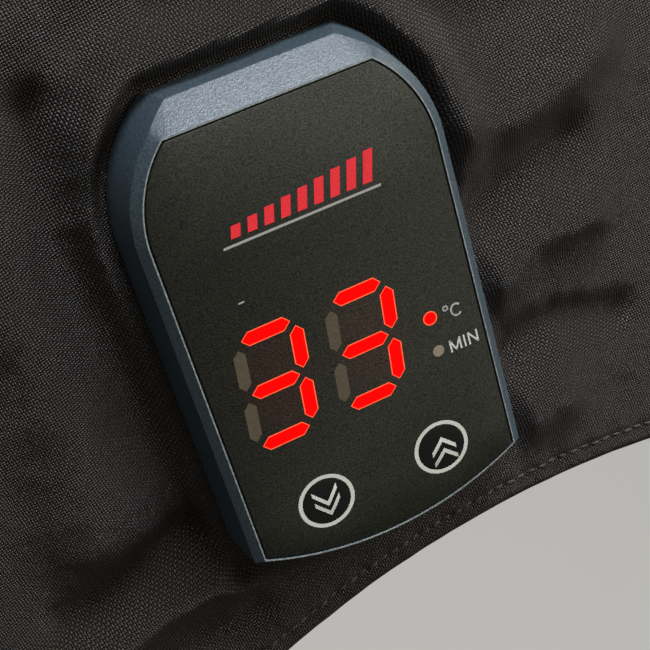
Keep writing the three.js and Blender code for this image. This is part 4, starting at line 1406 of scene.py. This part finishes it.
@dataclass
class FrontPanel:
    """The front film with everything printed on it or lit behind it, and the two embossed keys."""

    outline: HousingOutline = field(default_factory=HousingOutline)
    sizes: WarmerSizes = field(default_factory=WarmerSizes)
    film: float = 0.8
    ink: float = 0.02
    key_x: float = 12.03
    key_y: float = -20.73
    key_radius: float = 4.72
    key_rise: float = 0.5
    ring_inner: float = 4.76
    ring_outer: float = 5.54
    digit_centres: tuple[float, float] = (-13.93, 3.58)
    digit_level: float = 5.98
    slant: float = 0.12
    rim: float = 0.2
    capital: float = 2.3
    stroke: float = 0.34

    def flat_piece(
        self,
        name: str,
        shapes: Sequence[Sequence[tuple[float, float]]],
        low: float,
        high: float,
        finish: Finish,
        body: str = WARMER,
    ) -> bpy.types.Object:
        """Make thin flat plates from outlines on the film's axes.

        Args:
            name: The piece's name.
            shapes: Outlines as points in millimetres, each counterclockwise.
            low: The plates' underside over the film's face.
            high: Their top.
            finish: Their finish.
            body: The body that they ride on.

        Returns:
            The plates as one piece.
        """
        points, faces = [], []
        for shape in shapes:
            base, count = len(points), len(shape)
            points += [(x, y, low) for x, y in shape] + [(x, y, high) for x, y in shape]
            faces.append(tuple(range(base, base + count))[::-1])
            faces.append(tuple(range(base + count, base + 2 * count)))
            faces += [
                (base + i, base + (i + 1) % count, base + count + (i + 1) % count, base + count + i)
                for i in range(count)
            ]
        flat = np.array(points)
        piece = add_piece(name, to_frame(self.sizes.panel(), flat), faces, finish, flat[:, :2], None)
        return hold(piece, body)

    def circle(self, x: float, y: float, radius: float, sides: int = 48) -> list[tuple[float, float]]:
        """Points of a circle, counterclockwise."""
        turns = (2 * math.pi * i / sides for i in range(sides))
        return [(x + radius * math.cos(t), y + radius * math.sin(t)) for t in turns]

    def film_piece(self) -> bpy.types.Object:
        """Make the film, with a softened edge and two holes that the keys' domes fill.

        Returns:
            The film.
        """
        edge = self.outline.points(0, 0, 0)
        soft = 0.12
        inner = self.outline.points(-soft, -soft, -soft)
        count = len(edge)
        rings = [np.c_[inner, np.full(count, 0.0)], np.c_[edge, np.full(count, -soft)]]
        rings += [np.c_[edge, np.full(count, -self.film)]]
        points = [tuple(p) for ring in rings for p in ring]
        faces: list[tuple[int, ...]] = []
        for band in range(2):
            faces += [
                (band * count + i, (band + 1) * count + i, (band + 1) * count + (i + 1) % count, band * count + (i + 1) % count)
                for i in range(count)
            ]
        work = bmesh.new()
        corners = [work.verts.new(p) for p in points]
        for face in faces:
            work.faces.new([corners[i] for i in face])
        sides = 48
        for side in (-1, 1):
            hole = self.circle(side * self.key_x, self.key_y, self.key_radius + 0.04, sides)
            top = [work.verts.new((x, y, 0.0)) for x, y in hole]
            low = [work.verts.new((x, y, -self.film)) for x, y in hole]
            for i in range(sides):
                work.faces.new((top[i], top[(i + 1) % sides], low[(i + 1) % sides], low[i]))
        for level in (0.0, -self.film):
            rim = [e for e in work.edges if len(e.link_faces) == 1 and all(abs(v.co.z - level) < 1e-6 for v in e.verts)]
            bmesh.ops.triangle_fill(work, edges=rim, use_beauty=True, use_dissolve=False)
        bmesh.ops.recalc_face_normals(work, faces=work.faces)
        work.verts.ensure_lookup_table()
        flat = np.array([v.co for v in work.verts])
        shapes = [[v.index for v in face.verts] for face in work.faces]
        work.free()
        piece = add_piece(
            "front_film", to_frame(self.sizes.panel(), flat), shapes, FRONT_FILM, flat[:, :2], 50.0
        )
        return hold(piece, WARMER, "front_overlay")

    def dome_height(self, radius: float) -> float:
        """Height of a key's dome over the film at a radius from its middle."""
        share = min(1.0, radius / self.key_radius)
        return self.key_rise * (1 - share**2) ** 0.8 - 0.03

    def key(self, side: int, body: str, word: str) -> None:
        """Make a key's dome and the pair of chevrons printed on it.

        Args:
            side: -1 for the left key, which points down, and 1 for the right one, which points up.
            body: The body that the key moves with.
            word: What the key's pieces are called.
        """
        centre = np.array((side * self.key_x, self.key_y, 0.0))
        rings, sides = 14, 64
        points = [(0.0, 0.0, self.dome_height(0))]
        for ring in range(1, rings + 1):
            radius = self.key_radius * ring / rings
            for i in range(sides):
                turn = 2 * math.pi * i / sides
                points.append((radius * math.cos(turn), radius * math.sin(turn), self.dome_height(radius)))
        edge = len(points) - sides
        points += [(x, y, -0.6) for x, y, _ in points[edge:]]
        faces: list[tuple[int, ...]] = [(0, 1 + i, 1 + (i + 1) % sides) for i in range(sides)]
        for ring in range(rings):
            a = 1 + ring * sides
            faces += [(a + i, a + sides + i, a + sides + (i + 1) % sides, a + (i + 1) % sides) for i in range(sides)]
        faces.append(tuple(range(edge + sides, edge + 2 * sides))[::-1])
        flat = np.array(points) + centre
        dome = add_piece(
            f"{word}_key_dome", to_frame(self.sizes.panel(), flat), faces, KEY_FILM, flat[:, :2], 40.0
        )
        hold(dome, body)
        self.chevrons(side, body, word, centre)

    def chevrons(self, side: int, body: str, word: str, centre: np.ndarray) -> None:
        """Make the pair of chevrons on a key, bent over its dome."""
        half, stroke, cuts = 2.5, 1.05, 8
        rise, middle, tips = (2.6, 0.3, (2.37, -0.08)) if side > 0 else (2.9, 0.05, (-3.12, -0.88))
        points, faces = [], []
        for tip in tips:
            for x0, x1 in ((middle, middle + half), (middle, middle - half)):
                base = len(points)
                for i in range(cuts + 1):
                    x = x0 + (x1 - x0) * i / cuts
                    y = tip - side * rise * i / cuts
                    for yy in (y, y - side * stroke):
                        lift = self.dome_height(math.hypot(x, yy)) + 0.015
                        points += [(x, yy, lift), (x, yy, lift + self.ink)]
                for i in range(cuts):
                    a, b = base + 4 * i, base + 4 * i + 4
                    faces += [(a + 1, b + 1, b + 3, a + 3), (a, a + 2, b + 2, b)]
                    faces += [(a, b, b + 1, a + 1), (a + 2, a + 3, b + 3, b + 2)]
                end = base + 4 * cuts
                faces += [(base, base + 1, base + 3, base + 2), (end, end + 2, end + 3, end + 1)]
        flat = np.array(points) + centre
        piece = add_piece(
            f"{word}_key_chevrons", to_frame(self.sizes.panel(), flat), faces, PALE_INK, flat[:, :2], None
        )
        hold(piece, body)

    def ring_print(self) -> None:
        """Print the pale ring round each key."""
        sides = 72
        points, faces = [], []
        for side in (-1, 1):
            base = len(points)
            for level, radius in (
                (0.005, self.ring_inner), (self.ink, self.ring_inner), (self.ink, self.ring_outer), (0.005, self.ring_outer)
            ):
                points += [(x, y, level) for x, y in self.circle(side * self.key_x, self.key_y, radius, sides)]
            for band in range(4):
                a, b = base + band * sides, base + (band + 1) % 4 * sides
                faces += [(a + i, b + i, b + (i + 1) % sides, a + (i + 1) % sides) for i in range(sides)]
        flat = np.array(points)
        piece = add_piece("key_rings", to_frame(self.sizes.panel(), flat), faces, PALE_INK, flat[:, :2], 30.0)
        hold(piece, WARMER)

    def bar(self, length: float, width: float, upright: bool, x: float, y: float) -> list[tuple[float, float]]:
        """One digit bar: a slanted six-sided window with pointed ends."""
        half, shoulder = length / 2, length / 2 - width / 2
        shape = [(-half, 0.0), (-shoulder, -width / 2), (shoulder, -width / 2)]
        shape += [(half, 0.0), (shoulder, width / 2), (-shoulder, width / 2)]
        placed = []
        for px, py in shape:
            if upright:
                px, py = -py, px
            level = py + y
            placed.append((px + x + self.slant * level, level + self.digit_level))
        return placed

    def bars(self, centre: float, grown: float) -> dict[str, list[tuple[float, float]]]:
        """The seven bars of a digit by their usual letters."""
        long, tall, wide = 8.9 + 2 * grown, 7.9 + 2 * grown, 2.3 + 2 * grown
        spread, rise = 5.45, 10.35
        places = {
            "A": (long, False, 0.0, rise), "G": (long, False, 0.0, 0.0), "D": (long, False, 0.0, -rise),
            "B": (tall, True, spread, rise / 2 - 0.1), "F": (tall, True, -spread, rise / 2 - 0.1),
            "C": (tall, True, spread, -rise / 2 + 0.1), "E": (tall, True, -spread, -rise / 2 + 0.1),
        }
        return {
            letter: self.bar(length, wide, upright, x + centre, y)
            for letter, (length, upright, x, y) in places.items()
        }

    def display(self) -> None:
        """Make the digits' lit windows with their bright rims, and the unlit ones."""
        lit, rims, unlit = [], [], []
        for centre in self.digit_centres:
            plain, grown = self.bars(centre, 0.0), self.bars(centre, self.rim)
            lit += [plain[letter] for letter in "ABGCD"]
            rims += [grown[letter] for letter in "ABGCD"]
            unlit += [plain[letter] for letter in "FE"]
        self.flat_piece("lit_segment_rims", rims, 0.004, 0.010, LIT_RIM)
        self.flat_piece("lit_segments", lit, 0.012, 0.020, LIT_RED)
        self.flat_piece("unlit_segments", unlit, 0.004, 0.010, UNLIT_WINDOW)

    def lamps(self) -> None:
        """Make the two lamps' windows."""
        lit = (16.53, 5.56)
        self.flat_piece("degree_lamp_rim", [self.circle(*lit, 1.38)], 0.004, 0.010, LIT_RIM)
        self.flat_piece("degree_lamp_window", [self.circle(*lit, 1.16)], 0.012, 0.020, LIT_RED)
        self.flat_piece("minute_lamp_window", [self.circle(16.47, -1.35, 1.12)], 0.004, 0.012, UNLIT_LAMP)

    def letters(self, name: str, strokes: Sequence[Sequence[tuple[float, float]]]) -> None:
        """Print a unit's letters as even strokes.

        Args:
            name: The piece's name.
            strokes: Each stroke's points on the film in millimetres.
        """
        half = self.stroke / 2
        shapes = []
        for stroke in strokes:
            for (ax, ay), (bx, by) in zip(stroke, stroke[1:]):
                long = math.hypot(bx - ax, by - ay)
                ux, uy = (bx - ax) / long * half, (by - ay) / long * half
                ax, ay, bx, by = ax - ux * 0.6, ay - uy * 0.6, bx + ux * 0.6, by + uy * 0.6
                shapes.append([(ax + uy, ay - ux), (bx + uy, by - ux), (bx - uy, by + ux), (ax - uy, ay + ux)])
        self.flat_piece(name, shapes, 0.004, self.ink, PALE_INK)

    def units(self) -> None:
        """Print the degree unit beside the upper lamp and the minute unit beside the lower one."""
        tall = self.capital
        turns = [2 * math.pi * i / 20 for i in range(21)]
        ring = [(19.75 + 0.42 * math.cos(t), 6.15 + 0.42 * math.sin(t)) for t in turns]
        bow = [math.radians(48 + 264 * i / 20) for i in range(21)]
        curve = [(21.75 + 0.44 * tall * math.cos(t), 5.1 + tall / 2 * math.sin(t)) for t in bow]
        self.letters("degree_unit_print", [ring, curve])
        low, high = -1.6 - tall / 2, -1.6 + tall / 2
        m = [(18.95, low), (18.95, high), (19.95, low + 0.2), (20.95, high), (20.95, low)]
        i = [(21.85, low), (21.85, high)]
        n = [(22.75, low), (22.75, high), (24.45, low), (24.45, high)]
        self.letters("minute_unit_print", [m, i, n])

    def heat_mark(self) -> None:
        """Print a plain heat scale: slanted red bars that grow along a pale line, and a small pale dash."""
        bars = []
        count, start, pitch, width, low = 9, -13.2, 3.05, 1.75, 34.4
        lean = 0.28
        for i in range(count):
            tall = 2.2 + 3.4 * i / (count - 1)
            x = start + pitch * i
            bars.append([(x, low), (x + width, low), (x + width + lean * tall, low + tall), (x + lean * tall, low + tall)])
        self.flat_piece("heat_scale_bars", bars, 0.004, self.ink, MARK_RED)
        line = [(-15.0, 33.0), (14.2, 33.0), (14.32, 33.45), (-14.88, 33.45)]
        dash = [(-15.6, 22.95), (-14.5, 23.0), (-14.5, 23.28), (-15.6, 23.23)]
        self.flat_piece("heat_scale_line", [line, dash], 0.004, self.ink, MARK_GREY)

    def build(self) -> None:
        """Make the film and all that is on it."""
        self.film_piece()
        self.key(-1, "down_key", "down")
        self.key(1, "up_key", "up")
        self.ring_print()
        self.display()
        self.lamps()
        self.units()
        self.heat_mark()


@dataclass
class MainsGland:
    """The cord's inlet in the cover: a flanged rubber gland with a ribbed neck, and its nut inside."""

    azimuth: float = math.radians(74.25)
    height: float = 165.0
    seat: float = 349.23
    bore: float = 3.5
    flange: float = 12.0
    sides: int = 64
    sizes: WarmerSizes = field(default_factory=WarmerSizes)

    def lathe(self, name: str, profile: Sequence[tuple[float, float]], finish: Finish, node: str) -> None:
        """Turn a closed profile of radius and reach pairs round the gland's axis."""
        count = len(profile)
        points = []
        out = np.array((math.cos(self.azimuth), math.sin(self.azimuth), 0.0))
        across = np.array((-out[1], out[0], 0.0))
        up = np.array((0.0, 0.0, 1.0))
        for i in range(self.sides):
            turn = 2 * math.pi * i / self.sides
            spoke = across * math.cos(turn) + up * math.sin(turn)
            points += [tuple(out * reach + spoke * radius + up * self.height) for radius, reach in profile]
        faces = []
        for i in range(self.sides):
            a, b = i * count, (i + 1) % self.sides * count
            faces += [(a + j, b + j, b + (j + 1) % count, a + (j + 1) % count) for j in range(count)]
        hold(add_piece(name, np.array(points), faces, finish, None, 35.0), WARMER, node)

    def build(self) -> None:
        """Make the gland's rubber."""
        s = self.seat
        neck = [(7.5, s + 2.5)]
        for rib in range(3):
            reach = s + 3.1 + rib * 1.8
            neck += [(7.3 - 0.3 * rib, reach), (6.6 - 0.3 * rib, reach + 0.3), (6.6 - 0.3 * rib, reach + 1.0)]
            neck += [(7.2 - 0.3 * rib, reach + 1.3)]
        body = [(self.bore, s - 13.2), (6.0, s - 13.2), (6.0, s), (self.flange - 0.3, s), (self.flange, s + 0.4)]
        body += [(self.flange, s + 1.7), (self.flange - 0.8, s + 2.5), *neck]
        body += [(6.1, s + 8.5), (self.bore + 0.5, s + 8.5), (self.bore, s + 8.0)]
        inner = -(s - 334.0)
        body[0] = (self.bore, s + inner - 0.0)
        body[1] = (6.0, s + inner)
        self.lathe("mains_gland_rubber", body, BLACK_RUBBER, "mains_gland")


@dataclass
class Fittings:
    """The CAD pieces that keep their own shape, each with the finish of what it is made of."""

    rigid: dict[str, Finish] = field(
        default_factory=lambda: {
            "gland_nut": BLACK_NYLON,
            "temperature_sensor": SENSOR_BRASS,
            "base_plate": BLACK_NYLON,
            "backing_plate": BLACK_NYLON,
            "fixing_screw_1": ZINC_STEEL,
            "fixing_screw_2": ZINC_STEEL,
            "fixing_screw_3": ZINC_STEEL,
            "fixing_screw_4": ZINC_STEEL,
            "circuit_board": SOLDER_MASK,
            "segment_light_guide": RED_DIFFUSER,
            "display_reflector": BLACK_NYLON,
            "degree_lamp": RED_DIFFUSER,
            "minute_lamp": CLEAR_PLASTIC,
            "down_key_switch": BLACK_NYLON,
            "up_key_switch": BLACK_NYLON,
            "down_key_plunger": CLEAR_PLASTIC,
            "up_key_plunger": CLEAR_PLASTIC,
            "control_chip": BLACK_NYLON,
            "power_triac": BLACK_NYLON,
            "supply_capacitor": ZINC_STEEL,
            "terminal_block": TERMINAL_NYLON,
        }
    )
    soft: dict[str, tuple[str, Finish, str]] = field(
        default_factory=lambda: {
            "supply_lead": ("supply_lead_sheath", BLACK_RUBBER, "black_rubber"),
            "heater_lead": ("heater_lead_sheath", BLACK_RUBBER, "black_rubber"),
            "sensor_lead": ("sensor_lead_sheath", BLACK_RUBBER, "black_rubber"),
            "upper_hem_elastic": ("upper_elastic_web", ELASTIC_WEB, "elastic_web"),
            "lower_hem_elastic": ("lower_elastic_web", ELASTIC_WEB, "elastic_web"),
            "lead_tape": ("lead_tape_web", HOOK_TAPE, "tape_web"),
        }
    )

    def dress(self, nodes: dict[str, bpy.types.Object]) -> None:
        """Give each rigid CAD piece its finish.

        Args:
            nodes: The frame's CAD nodes by name.
        """
        for name, finish in self.rigid.items():
            data = nodes[name].data
            data.materials.clear()
            data.materials.append(finish.material())

    def soften(self, nodes: dict[str, bpy.types.Object]) -> None:
        """Replace each soft CAD piece by a rounded copy of itself.

        Args:
            nodes: The frame's CAD nodes by name.
        """
        for node, (name, finish, slot) in self.soft.items():
            source = nodes[node]
            work = bmesh.new()
            work.from_mesh(source.data)
            work.transform(source.matrix_world)
            bmesh.ops.remove_doubles(work, verts=work.verts, dist=0.02 * MM)
            bmesh.ops.join_triangles(
                work, faces=work.faces, angle_face_threshold=math.radians(20), angle_shape_threshold=math.radians(40)
            )
            mesh = bpy.data.meshes.new(name)
            work.to_mesh(mesh)
            work.free()
            for polygon in mesh.polygons:
                polygon.use_smooth = True
            piece = bpy.data.objects.new(name, mesh)
            bpy.context.scene.collection.objects.link(piece)
            rounder = piece.modifiers.new("round", "SUBSURF")
            rounder.levels = rounder.render_levels = 2 if "lead" in node else 1
            settle(piece)
            piece.data.materials.clear()
            piece.data.materials.append(finish.material())
            hold(piece, WARMER, node)


@dataclass
class CameraRig:
    """The camera, placed on the front film's axes at the photograph's viewing angle."""

    lens: float = 71.1
    sensor: float = 36.0
    centre: tuple[float, float, float] = (-49.29, 113.86, 193.55)
    right: tuple[float, float, float] = (0.8952, -0.2675, 0.3565)
    forward: tuple[float, float, float] = (0.2101, -0.4522, -0.8668)

    def build(self, panel: Matrix) -> bpy.types.Object:
        """Make the scene's camera.

        Args:
            panel: The front film's frame in millimetres.

        Returns:
            The camera.
        """
        forward = Vector(self.forward).normalized()
        right = (Vector(self.right) - Vector(self.right).dot(forward) * forward).normalized()
        up = right.cross(forward)
        turn = Matrix((right, up, -forward)).transposed().to_4x4()
        place = panel @ Matrix.Translation(self.centre) @ turn
        data = bpy.data.cameras.new("camera")
        data.lens = self.lens
        data.sensor_width = self.sensor
        data.clip_start = 0.01
        camera = bpy.data.objects.new("camera", data)
        bpy.context.scene.collection.objects.link(camera)
        camera.matrix_world = Matrix.Translation(place.translation * MM) @ place.to_3x3().normalized().to_4x4()
        bpy.context.scene.camera = camera
        return camera


@dataclass(frozen=True)
class SoftLight:
    """An area light aimed at the controller, in metres and watts."""

    name: str
    place: tuple[float, float, float]
    size: float
    power: float
    colour: str


@dataclass
class Studio:
    """A pale floor, a pale surround and soft lamps."""

    lights: tuple[SoftLight, ...] = (
        SoftLight("window_light", (0.46, 1.32, 0.72), 0.5, 19.0, "#F3F7FF"),
        SoftLight("side_light", (1.05, 0.45, 0.68), 0.5, 9.0, "#FFF9F2"),
        SoftLight("overhead_light", (0.5, 0.8, 1.8), 1.2, 5.0, "#FFF8F0"),
    )
    surround: str = "#E9E7E3"
    ambient: float = 0.18
    floor_size: float = 14.0
    floor_level: float = -0.4

    def build(self, target: Vector) -> None:
        """Make the floor, the world and the lamps.

        Args:
            target: The place in metres that the lamps face.
        """
        half = self.floor_size / 2 / MM
        level = self.floor_level
        corners = np.array([(-half, -half, level), (half, -half, level), (half, half, level), (-half, half, level)])
        floor = add_piece("studio_floor", corners, [(0, 1, 2, 3)], STUDIO_FLOOR, None, None)
        world = bpy.data.worlds.new("studio")
        world.use_nodes = True
        tree = world.node_tree
        tree.nodes.clear()
        path = add_node(tree, "ShaderNodeLightPath")
        seen = add_node(
            tree,
            "ShaderNodeMath",
            {"operation": "MAXIMUM"},
            {0: path.outputs["Is Camera Ray"], 1: 0.0},
        )
        strength = add_node(
            tree,
            "ShaderNodeMapRange",
            inputs={"Value": seen, "To Min": self.ambient, "To Max": 1.0},
        )
        back = add_node(
            tree,
            "ShaderNodeBackground",
            inputs={"Color": linear(self.surround), "Strength": strength},
        )
        add_node(tree, "ShaderNodeOutputWorld", inputs={"Surface": back})
        bpy.context.scene.world = world
        for light in self.lights:
            data = bpy.data.lights.new(light.name, "AREA")
            data.shape = "DISK"
            data.size = light.size
            data.energy = light.power
            data.color = linear(light.colour)[:3]
            lamp = bpy.data.objects.new(light.name, data)
            bpy.context.scene.collection.objects.link(lamp)
            lamp.location = light.place
            lamp.rotation_euler = (target - Vector(light.place)).to_track_quat("-Z", "Y").to_euler()
        bpy.context.scene.view_settings.view_transform = "Standard"


@dataclass
class TyreWarmer:
    """The whole warmer, built sub-assembly by sub-assembly."""

    sizes: WarmerSizes = field(default_factory=WarmerSizes)

    def layers(self) -> list[BandLayer]:
        """The tread band's cloth and felt layers, from the outside in."""
        return [
            BandLayer("tread_cover", "tread_cover_cloth", 347.6, 349.2, 24.05, 195.95, COVER_CLOTH, "cover_cloth", 0.9),
            BandLayer("insulation_layer", "insulation_felt", 341.3, 347.3, 16.3, 203.7, FELT, "insulation_felt", 0.0),
            BandLayer(
                "heating_mat", "heating_mat_rubber", 339.5, 341.0, 12.0, 208.0, HEATING_RUBBER, "heating_rubber", 0.0
            ),
            BandLayer("inner_lining", "lining_cloth", 338.0, 339.2, 14.0, 206.0, LINING_CLOTH, "lining_cloth", 0.0, 60.0),
        ]

    def build_cloth(self) -> None:
        """Make the flaps, the band's layers, the strap and their stitching."""
        flaps = {side: SideFlap(side, f"{side.name.lower()}_side_flap") for side in Side}
        for flap in flaps.values():
            piece = flap.build()
            flap.placket()
            flap.cut_area()
        for layer in self.layers():
            piece = layer.build()
        strap = CloseStrap()
        strap.build()
        self.sew(flaps, strap)

    def sew(self, flaps: dict[Side, SideFlap], strap: CloseStrap) -> None:
        """Lay the stitches along the hems, the shoulder seams and the strap."""
        s = self.sizes
        start, end = s.closure + 0.012, s.closure + 2 * math.pi - 0.012
        hems = [flap.stitch_path(s.hem_radius + 5.0, start, end, 1.2) for flap in flaps.values()]
        Stitching().lay("hem_stitches", [row for row in hems])
        around = np.arange(start, end, math.radians(0.35))
        seams = []
        for z in (s.seam_depth - 3.2, s.seam_depth + 4.5, s.height - s.seam_depth + 3.2, s.height - s.seam_depth - 4.5):
            radius = s.cover_radius + 0.1
            seams.append(np.stack([radius * np.cos(around), radius * np.sin(around), np.full_like(around, z)], axis=-1))
        Stitching(pitch=3.2, length=2.6).lay("shoulder_stitches", seams)
        Stitching(pitch=3.0, length=2.4).lay("strap_stitches", strap.stitch_paths())

    def build_controller(self) -> None:
        """Make the controller's shell and its front."""
        housing = ControllerHousing()
        housing.build()
        housing.painted_land_highlight()
        FrontPanel().build()

    def build(self, frame: dict) -> None:
        """Make everything that shows.

        Args:
            frame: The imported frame.
        """
        fittings = Fittings()
        fittings.dress(frame["nodes"])
        fittings.soften(frame["nodes"])
        self.build_cloth()
        self.build_controller()
        MainsGland().build()


def main() -> None:
    """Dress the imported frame, light it and place the camera."""
    logging.basicConfig(level=logging.INFO, format="%(name)s: %(message)s")
    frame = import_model()
    CameraRig().build(SIZES.panel())
    TyreWarmer().build(frame)
    Studio().build(SIZES.panel().translation * MM)


if __name__ == "__main__":
    main()
